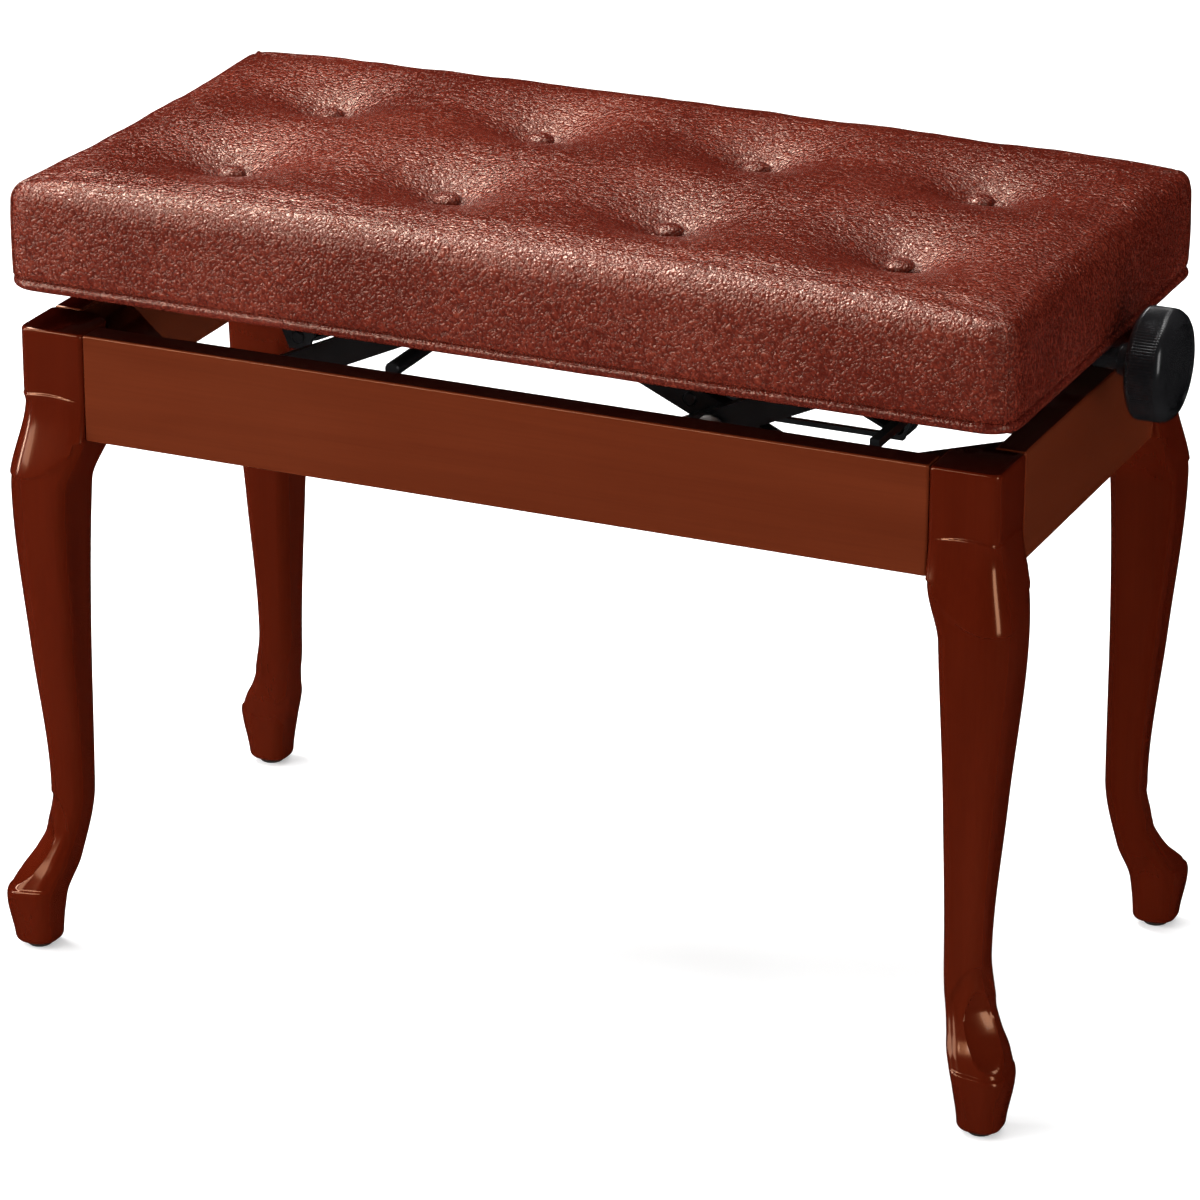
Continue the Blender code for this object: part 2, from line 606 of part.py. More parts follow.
def build_piping():
    rings = []
    for x, y in rounded_rectangle(SEAT_HALF_X, SEAT_HALF_Y, SEAT_CORNER, 6):
        centre = Vector((x, y))
        core = Vector((
            max(-SEAT_HALF_X + SEAT_CORNER, min(SEAT_HALF_X - SEAT_CORNER, x)),
            max(-SEAT_HALF_Y + SEAT_CORNER, min(SEAT_HALF_Y - SEAT_CORNER, y)),
        ))
        outward = (centre - core).normalized()
        ring = []
        for a, b in circle((0, 0), PIPING_RADIUS, 10):
            point = centre + outward * a
            ring.append((point.x, point.y, SEAT_BOTTOM + PIPING_RADIUS + b))
        rings.append(ring)
    add_object("seat_piping", loft(rings, closed_ring=True), TRIM, smooth=True)


def dimple(distance):
    """Depth of the hollow that a button pulls into the cushion, with a small level floor under the button."""
    slope = max(0.0, distance - DIMPLE_FLOOR) / DIMPLE_RADIUS
    return BUTTON_SINK * (0.55 * exp(-(slope ** 2)) + 0.45 * exp(-((slope / 2) ** 2)))


def cushion_top(x, y):
    """Height of the cushion's upper surface: a crowned pad drawn down at each button."""
    across = max(0.0, 1 - (x / SEAT_HALF_X) ** 4)
    along = max(0.0, 1 - (y / SEAT_HALF_Y) ** 2)
    height = SEAT_EDGE_TOP + CROWN * across * along ** 0.7
    for button_x in BUTTON_COLUMNS:
        for button_y in BUTTON_ROWS:
            height -= dimple(((x - button_x) ** 2 + (y - button_y) ** 2) ** 0.5)
    return height


def spread(limit, corner, centres):
    """Grid lines from -limit to limit, close together around each button and at the corner squares."""
    lines = {-limit, -limit + corner / 2, -limit + corner, limit - corner, limit - corner / 2, limit}
    for centre in centres:
        for offset in (0.0, 0.010, 0.022, 0.040):
            lines |= {centre - offset, centre + offset}
    for first, second in zip(centres, centres[1:]):
        lines.add((first + second) / 2)
    outermost = (centres[-1] + 0.040 + limit - corner) / 2
    if outermost - centres[-1] > 0.055:
        lines |= {-outermost, outermost}
    return sorted(lines)


def into_corner(x, y, half_x, half_y, corner):
    """Moves a grid point in a corner square into the quarter disc that rounds it."""
    over_x, over_y = abs(x) - (half_x - corner), abs(y) - (half_y - corner)
    if over_x <= 0 or over_y <= 0:
        return x, y
    p, q = over_x / corner, over_y / corner
    new_x = (half_x - corner) + corner * p * (1 - q * q / 2) ** 0.5
    new_y = (half_y - corner) + corner * q * (1 - p * p / 2) ** 0.5
    return (new_x if x > 0 else -new_x), (new_y if y > 0 else -new_y)


def build_cushion():
    """Padded top with rounded edges, upright sides and a pocket below that fits over the board."""
    half_x, half_y = SEAT_HALF_X - EDGE_RADIUS, SEAT_HALF_Y - EDGE_RADIUS
    corner = 0.006
    xs, ys = spread(half_x, corner, BUTTON_COLUMNS), spread(half_y, corner, BUTTON_ROWS)
    made = bmesh.new()
    grid = []
    for x in xs:
        row = []
        for y in ys:
            px, py = into_corner(x, y, half_x, half_y, corner)
            row.append(made.verts.new((px, py, cushion_top(px, py))))
        grid.append(row)
    for a, b in zip(grid, grid[1:]):
        for j in range(len(ys) - 1):
            made.faces.new((a[j], b[j], b[j + 1], a[j + 1]))
    last_x, last_y = len(xs) - 1, len(ys) - 1
    rim = [grid[i][0] for i in range(last_x)] + [grid[last_x][j] for j in range(last_y)]
    rim += [grid[i][last_y] for i in range(last_x, 0, -1)] + [grid[0][j] for j in range(last_y, 0, -1)]
    pocket_x, pocket_y = BOARD_HALF_X + GAP, BOARD_HALF_Y + GAP
    steps = [(EDGE_RADIUS * sin(radians(a)), -EDGE_RADIUS * (1 - cos(radians(a)))) for a in (30, 60, 90)]
    rings = [rim]
    for out, down in steps:
        spots = [rim_point(v.co, half_x, half_y, corner, out, v.co.z + down) for v in rim]
        rings.append([made.verts.new(spot) for spot in spots])
    rings.append([made.verts.new((v.co.x, v.co.y, CUSHION_BOTTOM)) for v in rings[-1]])
    for z in (CUSHION_BOTTOM, BOARD_TOP + GAP):
        rings.append([made.verts.new(pocket_point(v.co, pocket_x, pocket_y, z)) for v in rings[-1]])
    for first, second in zip(rings, rings[1:]):
        for i in range(len(rim)):
            j = (i + 1) % len(rim)
            made.faces.new((first[i], first[j], second[j], second[i]))
    made.faces.new(rings[-1])
    add_object("seat_cushion", made, LEATHER, smooth=True)


def rim_point(point, half_x, half_y, corner, out, z):
    """Moves a rim point outward along the rim's normal."""
    core_x = max(corner - half_x, min(half_x - corner, point.x))
    core_y = max(corner - half_y, min(half_y - corner, point.y))
    normal = Vector((point.x - core_x, point.y - core_y, 0)).normalized()
    return (point.x + normal.x * out, point.y + normal.y * out, z)


def pocket_point(point, half_x, half_y, z):
    return (max(-half_x, min(half_x, point.x)), max(-half_y, min(half_y, point.y)), z)


def build_buttons():
    """Small covered buttons at the bottom of the dimples."""
    profile = ((0.0, 1.0), (0.0014, 1.0), (0.0034, 0.74), (0.0044, 0.30))
    for row, y in zip(SIDES, BUTTON_ROWS):
        for number, x in enumerate(BUTTON_COLUMNS, 1):
            base = cushion_top(x, y) + 0.0006
            rings = []
            for up, size in profile:
                rings.append([(px, py, base + up) for px, py in circle((x, y), BUTTON_RADIUS * size, 14)])
            add_object(f"button_{row}_{number}", loft(rings), LEATHER, smooth=True)


def build_seat():
    build_board()
    build_cushion()
    build_piping()
    build_buttons()


def build_lift():
    build_arms()
    build_shafts()
    build_guides()
    build_nuts()
    build_bearing_bar()
    build_spindle()
    build_knob()


def centre_over_floor():
    """Puts the middle of the whole width, toes to knob, over the origin."""
    toe_reach = FRAME_HALF_LENGTH + max(offset for _, offset in LEG_OUTER)
    for item in bpy.data.objects:
        item.location.x -= (KNOB_FRONT - toe_reach) / 2


clear_scene()
build_wooden_frame()
build_lift()
build_seat()
centre_over_floor()
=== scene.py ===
"""Looks of the adjustable piano bench: lacquered wood, buttoned leather seat, black steel lift, ribbed knob.

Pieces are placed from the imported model's boxes. Metres, +Z up, the front at -Y.
"""

import math
import random

import bmesh
import bpy
from mathutils import Matrix, Vector, noise


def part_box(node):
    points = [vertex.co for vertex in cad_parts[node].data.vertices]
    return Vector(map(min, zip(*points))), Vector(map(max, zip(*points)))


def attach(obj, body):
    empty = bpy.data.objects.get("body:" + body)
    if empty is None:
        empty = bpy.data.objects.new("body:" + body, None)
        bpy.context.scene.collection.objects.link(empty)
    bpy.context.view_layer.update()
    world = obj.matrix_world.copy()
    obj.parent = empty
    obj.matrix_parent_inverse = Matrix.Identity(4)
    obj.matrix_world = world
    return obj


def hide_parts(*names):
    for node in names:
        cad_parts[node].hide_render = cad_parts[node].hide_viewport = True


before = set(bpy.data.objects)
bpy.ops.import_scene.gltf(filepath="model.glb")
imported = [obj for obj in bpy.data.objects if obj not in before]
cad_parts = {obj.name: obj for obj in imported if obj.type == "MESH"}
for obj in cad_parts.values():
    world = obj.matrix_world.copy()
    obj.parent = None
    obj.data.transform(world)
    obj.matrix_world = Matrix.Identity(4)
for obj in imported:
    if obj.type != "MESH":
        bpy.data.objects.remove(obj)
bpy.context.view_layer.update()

SIDES = (("front", -1), ("rear", 1))
ENDS = (("left", -1), ("right", 1))

# Wooden frame, read from the aprons
RAIL_GAP = 0.0003
APRON_LOW, APRON_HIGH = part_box("apron_front")
_, SIDE_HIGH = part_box("apron_right")
LEFT_LOW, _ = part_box("apron_left")
MIDDLE_X = (LEFT_LOW.x + SIDE_HIGH.x) / 2
HALF_LENGTH = (SIDE_HIGH.x - LEFT_LOW.x) / 2
HALF_DEPTH = -APRON_LOW.y
APRON_TOP = APRON_HIGH.z
APRON_BOTTOM = APRON_LOW.z
POST_SIDE = HALF_LENGTH - (APRON_HIGH.x - MIDDLE_X) - RAIL_GAP

# Seat, read from the cushion and the buttons; the cover stands a little outside the CAD cushion
COVER_OUTSET = 0.0020
SEAT_LOW, SEAT_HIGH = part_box("seat_cushion")
WALL_HALF_X = (SEAT_HIGH.x - SEAT_LOW.x) / 2 + COVER_OUTSET
WALL_HALF_Y = SEAT_HIGH.y + COVER_OUTSET
BUTTONS = [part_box(f"button_{row}_{i}") for row, _ in SIDES for i in (1, 2, 3, 4)]
BUTTON_CENTRES = [((low + high) / 2) for low, high in BUTTONS]
BUTTON_RADIUS = (BUTTONS[0][1].x - BUTTONS[0][0].x) / 2


# ---------------------------------------------------------------- small helpers


def clamp(value, low=0.0, high=1.0):
    return max(low, min(high, value))


def smoothstep(low, high, value):
    t = clamp((value - low) / (high - low))
    return t * t * (3 - 2 * t)


def bell(value, width, power=2):
    """1 where value is 0, falling off over the width."""
    return math.exp(-((value / width) ** power))


def quarter_round(t):
    """Fall of a quarter circle, 0 at t = 0 and 1 at t = 1."""
    return 1 - max(0.0, 1 - t * t) ** 0.5


def smooth_value(stations, z):
    """Smooth curve through (z, value) stations listed from low to high, level at both ends."""
    if z <= stations[0][0]:
        return stations[0][1]
    if z >= stations[-1][0]:
        return stations[-1][1]
    i = max(k for k, (height, _) in enumerate(stations) if height <= z)
    (z0, a), (z1, b) = stations[i], stations[i + 1]

    def slope(k):
        if k in (0, len(stations) - 1):
            return 0.0
        below, here, above = stations[k - 1], stations[k], stations[k + 1]
        first = (here[1] - below[1]) / (here[0] - below[0])
        second = (above[1] - here[1]) / (above[0] - here[0])
        return 0.0 if first * second <= 0 else 2 * first * second / (first + second)

    t = (z - z0) / (z1 - z0)
    start, end = slope(i) * (z1 - z0), slope(i + 1) * (z1 - z0)
    return (
        a * (2 * t ** 3 - 3 * t ** 2 + 1) + start * (t ** 3 - 2 * t ** 2 + t)
        + b * (3 * t ** 2 - 2 * t ** 3) + end * (t ** 3 - t ** 2)
    )


def mesh_object(name, points, faces, look, smooth=True):
    mesh = bpy.data.meshes.new(name)
    mesh.from_pydata(points, [], faces)
    mesh.validate()
    made = bmesh.new()
    made.from_mesh(mesh)
    bmesh.ops.recalc_face_normals(made, faces=made.faces)
    made.to_mesh(mesh)
    made.free()
    if smooth:
        mesh.shade_smooth()
    mesh.materials.append(look)
    item = bpy.data.objects.new(name, mesh)
    bpy.context.scene.collection.objects.link(item)
    return item


def ring_faces(rings, count, closed=False):
    """Quads between successive rings of equal point count."""
    faces = []
    last = rings if closed else rings - 1
    for k in range(last):
        low, high = k * count, ((k + 1) % rings) * count
        for i in range(count):
            j = (i + 1) % count
            faces.append((low + i, low + j, high + j, high + i))
    return faces


def lofted(name, rings, look, closed=False):
    """Skin over a list of rings, with end caps unless the stack closes on itself."""
    count = len(rings[0])
    points = [tuple(point) for ring in rings for point in ring]
    faces = ring_faces(len(rings), count, closed)
    if not closed:
        faces.append(tuple(range(count))[::-1])
        faces.append(tuple((len(rings) - 1) * count + i for i in range(count)))
    return mesh_object(name, points, faces, look)


def soften(item, width, segments=3):
    """Bevels an object's sharp edges and shades it with the flats kept flat."""
    bevel = item.modifiers.new("soft_edges", "BEVEL")
    bevel.width = width
    bevel.segments = segments
    bevel.limit_method = "ANGLE"
    bevel.angle_limit = math.radians(30)
    bevel.harden_normals = True
    return item


# ---------------------------------------------------------------- materials

# Painted shade: near-black colour mixed into the wood on level top faces.
TOP_SHADE = (0.018, 0.0010, 0.0003)
LACQUER_TINT = (1.0, 0.46, 0.22)
HIDE_TINT = (1.0, 0.66, 0.50)
LEG_DARK, LEG_LIGHT = (0.045, 0.0035, 0.0008), (0.064, 0.0058, 0.0015)
RAIL_DARK, RAIL_LIGHT = (0.070, 0.0110, 0.0034), (0.104, 0.0185, 0.0060)
BLOCK_DARK, BLOCK_LIGHT = (0.040, 0.0065, 0.0020), (0.075, 0.0140, 0.0050)
# Leather ramps, dark to light: the grain's valleys take the dark end as painted shade and the pebble tops
# take the light end as painted light.
COVER_TONES = (0.060, 0.0058, 0.0028), (0.102, 0.0118, 0.0058), (0.148, 0.0240, 0.0120)
PIPING_TONES = (0.050, 0.0048, 0.0026), (0.090, 0.0104, 0.0056), (0.140, 0.0230, 0.0120)
STEEL, ZINC, SHAFT = (0.007, 0.0075, 0.0085), (0.42, 0.42, 0.40), (0.012, 0.012, 0.013)
BLACK_GLOSS, GLIDE_BROWN = (0.0055, 0.0055, 0.006), (0.022, 0.014, 0.010)


def set_values(node, **values):
    """Sets attributes, or input sockets where the name starts with a capital."""
    for key, value in values.items():
        if key[0].isupper():
            node.inputs[key.replace("_", " ")].default_value = value
        else:
            setattr(node, key, value)


def new_material(name, colour, roughness, **values):
    made = bpy.data.materials.new(name)
    made.use_nodes = True
    shader = made.node_tree.nodes["Principled BSDF"]
    set_values(shader, Base_Color=(*colour, 1.0), Roughness=roughness, **values)
    return made, made.node_tree, shader


def add(tree, kind, **values):
    node = tree.nodes.new(kind)
    set_values(node, **values)
    return node


def coordinates(tree, scale=(1, 1, 1)):
    place = add(tree, "ShaderNodeTexCoord")
    mapping = add(tree, "ShaderNodeMapping", Scale=scale)
    tree.links.new(place.outputs["Object"], mapping.inputs["Vector"])
    return mapping.outputs["Vector"]


def texture(tree, vector, kind="Noise", output="Fac", **values):
    node = add(tree, f"ShaderNodeTex{kind}", **values)
    tree.links.new(vector, node.inputs["Vector"])
    return node.outputs[output]


def ramp(tree, source, stops):
    """Colour ramp from (position, colour) stops."""
    node = add(tree, "ShaderNodeValToRGB")
    elements = node.color_ramp.elements
    while len(elements) < len(stops):
        elements.new(0.5)
    for element, (position, colour) in zip(elements, stops):
        element.position = position
        element.color = (*colour, 1.0)
    tree.links.new(source, node.inputs["Fac"])
    return node.outputs["Color"]


def remap(tree, source, low, high):
    node = add(tree, "ShaderNodeMapRange", To_Min=low, To_Max=high)
    tree.links.new(source, node.inputs["Value"])
    return node.outputs["Result"]


def math_node(tree, operation, first, second):
    node = add(tree, "ShaderNodeMath", operation=operation)
    for socket, value in zip(node.inputs, (first, second)):
        if isinstance(value, (int, float)):
            socket.default_value = value
        else:
            tree.links.new(value, socket)
    return node.outputs["Value"]


def weighted_sum(tree, parts):
    """Adds up (socket, weight) pairs."""
    total = None
    for socket, weight in parts:
        part = math_node(tree, "MULTIPLY", socket, weight)
        total = part if total is None else math_node(tree, "ADD", total, part)
    return total


def bump(tree, shader, height, distance, strength):
    node = add(tree, "ShaderNodeBump", Strength=strength, Distance=distance)
    tree.links.new(height, node.inputs["Height"])
    tree.links.new(node.outputs["Normal"], shader.inputs["Normal"])


def painted_top_shade(tree, colour):
    """Paints shade on level top faces: a near-black colour is mixed in where the normal points up, standing
    in for the shade that falls on them under the seat.
    """
    place = add(tree, "ShaderNodeTexCoord")
    parts = add(tree, "ShaderNodeSeparateXYZ")
    tree.links.new(place.outputs["Normal"], parts.inputs["Vector"])
    level = add(tree, "ShaderNodeMapRange", From_Min=0.90, From_Max=0.985)
    tree.links.new(parts.outputs["Z"], level.inputs["Value"])
    mix = add(tree, "ShaderNodeMix", data_type="RGBA")
    tree.links.new(level.outputs["Result"], mix.inputs[0])
    tree.links.new(colour, mix.inputs[6])
    mix.inputs[7].default_value = (*TOP_SHADE, 1.0)
    return mix.outputs[2]


def wood_material(name, grain_axis, dark, light, coat=0.14):
    """Stained, lacquered wood: long soft grain, fine pores and a gloss tinted by the stain, with painted
    shade on level top faces.
    """
    made, tree, shader = new_material(
        name, light, 0.14, Coat_Weight=coat, Coat_Roughness=0.04, Specular_IOR_Level=0.80,
        Specular_Tint=(*LACQUER_TINT, 1.0),
    )
    along = "xyz".index(grain_axis)
    broad, fine = [34.0, 34.0, 34.0], [620.0, 620.0, 620.0]
    broad[along], fine[along] = 2.2, 12.0
    grain = coordinates(tree, broad)
    bands = texture(tree, grain, Scale=1.0, Detail=5.0, Roughness=0.55, Distortion=0.5)
    pores = texture(tree, coordinates(tree, fine), Scale=1.0, Detail=3.0, Roughness=0.6)
    patches = texture(tree, coordinates(tree), Scale=5.0, Detail=2.0)
    mixed = weighted_sum(tree, [(bands, 0.52), (pores, 0.24), (patches, 0.24)])
    colour = ramp(tree, mixed, [(0.34, dark), (0.66, light)])
    # The level top faces get painted shade.
    tree.links.new(painted_top_shade(tree, colour), shader.inputs["Base Color"])
    tree.links.new(remap(tree, patches, 0.10, 0.20), shader.inputs["Roughness"])
    bump(tree, shader, pores, 0.00002, 0.3)
    return made


def leather_material(name, dark, middle, light, grain=540.0, relief=0.0008):
    """Pebbled upholstery leather: irregular pebbles, linking wrinkles, fine pores and patchy shine. Its
    colour follows the grain's height as painted shade in the valleys and painted light on the pebble tops,
    mixed with random patches.
    """
    made, tree, shader = new_material(
        name, middle, 0.36, Specular_IOR_Level=0.85, Specular_Tint=(*HIDE_TINT, 1.0),
    )
    vector = coordinates(tree)
    shift = add(tree, "ShaderNodeVectorMath", operation="SCALE", Scale=0.0022)
    tree.links.new(texture(tree, vector, output="Color", Scale=230.0, Detail=2.0), shift.inputs[0])
    moved = add(tree, "ShaderNodeVectorMath", operation="ADD")
    tree.links.new(vector, moved.inputs[0])
    tree.links.new(shift.outputs["Vector"], moved.inputs[1])
    bent = moved.outputs["Vector"]
    cells = texture(
        tree, bent, "Voronoi", "Distance", feature="SMOOTH_F1", Scale=grain, Smoothness=0.25,
    )
    wrinkles = texture(tree, bent, Scale=240.0, Detail=2.0, Roughness=0.6, Distortion=1.0)
    folds = math_node(tree, "ABSOLUTE", math_node(tree, "SUBTRACT", wrinkles, 0.5), 0)
    ridges = remap(tree, folds, 0.0, 6.0)
    pores = texture(tree, vector, Scale=1800.0, Detail=2.0)
    patches = texture(tree, vector, Scale=9.0, Detail=3.0)
    pebble = remap(tree, cells, 1.0, 0.0)
    height = weighted_sum(tree, [(pebble, 0.72), (ridges, 0.34), (pores, 0.05)])
    # Painted shade and light: the colour darkens in the grain's valleys and lightens on the pebble tops; the
    # patches add real tone.
    painted_shade_and_patches = weighted_sum(tree, [(height, 0.50), (patches, 0.40)])
    stops = [(0.36, dark), (0.52, middle), (0.70, light)]
    tree.links.new(ramp(tree, painted_shade_and_patches, stops), shader.inputs["Base Color"])
    tree.links.new(remap(tree, patches, 0.15, 0.25), shader.inputs["Roughness"])
    bump(tree, shader, height, relief, 1.0)
    return made


def metal_material(name, colour, roughness, metallic, speck=900.0, depth=0.00006):
    """Painted or plated steel: slight orange peel and uneven gloss."""
    made, tree, shader = new_material(name, colour, roughness, Metallic=metallic)
    vector = coordinates(tree)
    fine = texture(tree, vector, Scale=speck, Detail=2.0)
    patches = texture(tree, vector, Scale=40.0, Detail=4.0)
    lighter = tuple(min(1.0, value * 1.5 + 0.004) for value in colour)
    tree.links.new(ramp(tree, patches, [(0.3, colour), (0.75, lighter)]), shader.inputs["Base Color"])
    tree.links.new(remap(tree, patches, roughness * 0.75, roughness * 1.3), shader.inputs["Roughness"])
    bump(tree, shader, fine, depth, 0.6)
    return made


def plywood_material():
    """Dark stained plywood: long grain on the face and thin plies on the edge."""
    made, tree, shader = new_material("stained_plywood", (0.030, 0.012, 0.006), 0.6)
    along = coordinates(tree, (4.0, 60.0, 60.0))
    grain = texture(tree, along, Scale=1.0, Detail=5.0, Distortion=0.8)
    layers = coordinates(tree, (0.0, 0.0, 70.0))
    plies = texture(tree, layers, "Wave", wave_type="BANDS", bands_direction="Z", Scale=1.0)
    mixed = weighted_sum(tree, [(grain, 0.75), (plies, 0.25)])
    stops = [(0.3, (0.016, 0.006, 0.003)), (0.7, (0.045, 0.020, 0.010))]
    tree.links.new(ramp(tree, mixed, stops), shader.inputs["Base Color"])
    tree.links.new(remap(tree, grain, 0.5, 0.7), shader.inputs["Roughness"])
    bump(tree, shader, grain, 0.0001, 0.5)
    return made


LEG_WOOD = wood_material("lacquered_leg_wood", "z", LEG_DARK, LEG_LIGHT)
WOOD_X = wood_material("lacquered_wood_long", "x", RAIL_DARK, RAIL_LIGHT)
WOOD_Y = wood_material("lacquered_wood_short", "y", RAIL_DARK, RAIL_LIGHT)
BLOCK_WOOD = wood_material("stained_block_wood", "z", BLOCK_DARK, BLOCK_LIGHT, coat=0.05)
LEATHER = leather_material("pebbled_leather", *COVER_TONES)
PIPING_LEATHER = leather_material("piping_leather", *PIPING_TONES, grain=700.0, relief=0.0003)
BLACK_STEEL = metal_material("black_painted_steel", STEEL, 0.36, 0.2)
ZINC_STEEL = metal_material("zinc_plated_steel", ZINC, 0.34, 1.0, depth=0.00003)
DARK_SHAFT = metal_material("blackened_shaft_steel", SHAFT, 0.30, 0.5)
KNOB_PLASTIC = metal_material("black_gloss_plastic", BLACK_GLOSS, 0.20, 0.0, speck=1400.0, depth=0.00002)
GLIDE_PLASTIC = metal_material("brown_glide_plastic", GLIDE_BROWN, 0.55, 0.0)
PLYWOOD = plywood_material()


# ---------------------------------------------------------------- legs

# Heights up a leg
SOLE_Z = 0.0033
TOE_Z = 0.034
LIP_Z = 0.0375
INSTEP_Z = 0.058
ARCH_Z = 0.0955
ANKLE_Z = 0.098
CALF_Z = 0.190
KNEE_Z = 0.290
PANEL_BOTTOM_Z = 0.297
PANEL_TOP_Z = 0.346

# Leg profile by height: outer face out from the rails' faces, inner face in from them, outer arris radius
LEG_OUTER = [
    (SOLE_Z, 0.0140), (TOE_Z, 0.0180), (0.046, 0.0142), (INSTEP_Z, 0.0074), (0.072, 0.0012),
    (ANKLE_Z, -0.0038), (CALF_Z, 0.0030), (KNEE_Z, 0.0108), (PANEL_TOP_Z, 0.0008),
]
LEG_INNER = [
    (SOLE_Z, 0.0118), (0.030, 0.0138), (0.054, 0.0208), (ANKLE_Z, 0.0274), (CALF_Z, 0.0280),
    (KNEE_Z, 0.0306), (APRON_BOTTOM, POST_SIDE),
]
LEG_ARRIS = [
    (SOLE_Z, 0.0095), (TOE_Z, 0.0125), (INSTEP_Z, 0.0150), (ANKLE_Z, 0.0085), (CALF_Z, 0.0100),
    (KNEE_Z, 0.0175), (PANEL_TOP_Z - 0.006, 0.0120), (PANEL_TOP_Z + 0.004, 0.0060),
]

# Roundings: of the top and the sole as height and draw, then of the side and back corners
TOP_ROUNDING, TOP_DRAW = 0.002, 0.0016
SOLE_ROUNDING, SOLE_DRAW = 0.004, 0.0024
SIDE_ROUNDING, BACK_ROUNDING, FOOT_SOFTENING = 0.0065, 0.0085, 0.0035
POST_SIDE_ROUNDING, POST_BACK_ROUNDING = 0.0030, 0.0150

# Carving
CARVING = 0.0011
PANEL_WRAP = 0.012
PANEL_MARGIN = 0.0045
PANEL_CORNER = 0.020
FACET_DEPTH = 0.0050
SCOOP_DEPTH, SCOOP_HALF_WIDTH = 0.0011, 0.011

CORNER_STEPS = 14
FLAT_STEPS = 9
ROOT_2 = 2 ** 0.5


def leg_heights():
    """Section heights: finest at the carved lip, the sole and the edges of the knee panel."""
    stretches = [
        (SOLE_Z, 0.012, 10), (0.012, TOE_Z, 12), (TOE_Z, 0.043, 16), (0.043, 0.102, 50), (0.102, 0.285, 38),
        (0.285, 0.303, 26), (0.303, 0.340, 24), (0.340, 0.353, 26), (0.353, APRON_TOP - TOP_ROUNDING, 8),
    ]
    heights = [low + (high - low) * i / count for low, high, count in stretches for i in range(count)]
    return heights + [APRON_TOP - down for down in (TOP_ROUNDING, 0.0011, 0.0004, 0.0)]


def end_rounding(z):
    """How far the section draws in where the post's top and the sole are rounded over."""
    if z > APRON_TOP - TOP_ROUNDING:
        return TOP_DRAW * quarter_round((z - (APRON_TOP - TOP_ROUNDING)) / TOP_ROUNDING)
    if z < SOLE_Z + SOLE_ROUNDING:
        return SOLE_DRAW * quarter_round(1 - (z - SOLE_Z) / SOLE_ROUNDING)
    return 0.0


def corner_radii(z):
    """Roundings of a section's corners: the outer one, the two at the sides and the back one."""
    arris = smooth_value(LEG_ARRIS, z)
    if z < APRON_BOTTOM:
        return arris, SIDE_ROUNDING + FOOT_SOFTENING * smoothstep(0.085, 0.050, z), BACK_ROUNDING
    return arris, POST_SIDE_ROUNDING, POST_BACK_ROUNDING


def section_outline(z):
    """Rounded-square section as (a, b) outward offsets, anticlockwise from the outer corner."""
    shrink = end_rounding(z)
    outer, inner = smooth_value(LEG_OUTER, z) - shrink, shrink - smooth_value(LEG_INNER, z)
    arris, side, back = corner_radii(z)
    corners = [
        (outer, outer, arris, 0),
        (inner, outer, side, 90),
        (inner, inner, back, 180),
        (outer, inner, side, 270),
    ]
    arcs = []
    for x, y, radius, start in corners:
        centre_x = x - radius * (1 if start in (0, 270) else -1)
        centre_y = y - radius * (1 if start in (0, 90) else -1)
        turns = [math.radians(start + 90 * k / CORNER_STEPS) for k in range(CORNER_STEPS + 1)]
        arcs.append([(centre_x + radius * math.cos(t), centre_y + radius * math.sin(t)) for t in turns])
    points = []
    for arc, following in zip(arcs, arcs[1:] + arcs[:1]):
        points += arc
        (x0, y0), (x1, y1) = arc[-1], following[0]
        for k in range(1, FLAT_STEPS):
            t = k / FLAT_STEPS
            points.append((x0 + (x1 - x0) * t, y0 + (y1 - y0) * t))
    return points, outer, inner, arris


def panel_mask(a, b, z, outer, inner):
    """1 on the raised knee panel, which wraps round the outer corner, and 0 off it."""
    if max(a, b) < outer - PANEL_WRAP:
        return 0.0
    reach = outer - min(a, b)
    width = (outer - inner) - PANEL_MARGIN
    side = smoothstep(width, width - 0.0012, reach)
    round_off = PANEL_CORNER * quarter_round(clamp((reach - width + 0.024) / 0.024))
    low_edge = PANEL_BOTTOM_Z + round_off + 0.004 * clamp(reach / width) ** 2
    high_edge = PANEL_TOP_Z + 0.0022 * math.sin(math.pi * clamp(reach / width))
    side *= smoothstep(low_edge, low_edge + 0.0011, z)
    return side * smoothstep(high_edge + 0.0007, high_edge - 0.0007, z)


def toe_mask(a, b, z, outer, inner):
    """1 on the sunk shield over the toe, which runs up to an arch at the ankle, and 0 off it."""
    reach = clamp((outer - min(a, b)) / (outer - inner))
    arch = ARCH_Z - 0.034 * reach ** 2.2
    lip = LIP_Z + 0.003 * reach
    sides = smoothstep(0.92, 0.86, reach)
    return sides * smoothstep(lip - 0.0005, lip + 0.0009, z) * smoothstep(arch + 0.0010, arch - 0.0010, z)


def leg_point(a, b, z, outer, inner, arris):
    """Adds the carved knee panel and the sunk, scooped toe shield to a plain section point."""
    lift = CARVING * (panel_mask(a, b, z, outer, inner) - toe_mask(a, b, z, outer, inner))
    middle = (outer + inner) / 2
    away = Vector((a - middle, b - middle)).normalized()
    a, b = a + away.x * lift, b + away.y * lift
    depth = FACET_DEPTH * smoothstep(0.092, 0.060, z) * smoothstep(LIP_Z, LIP_Z + 0.012, z)
    if depth > 0:
        along, across = (a + b) / ROOT_2, (a - b) / ROOT_2
        limit = outer * ROOT_2 - arris * (ROOT_2 - 1) - depth
        scoop = SCOOP_DEPTH * clamp(1 - (across / SCOOP_HALF_WIDTH) ** 2)
        if along > limit:
            along = limit - scoop * clamp((along - limit) / 0.0006)
        a, b = (along + across) / ROOT_2, (along - across) / ROOT_2
    return a, b


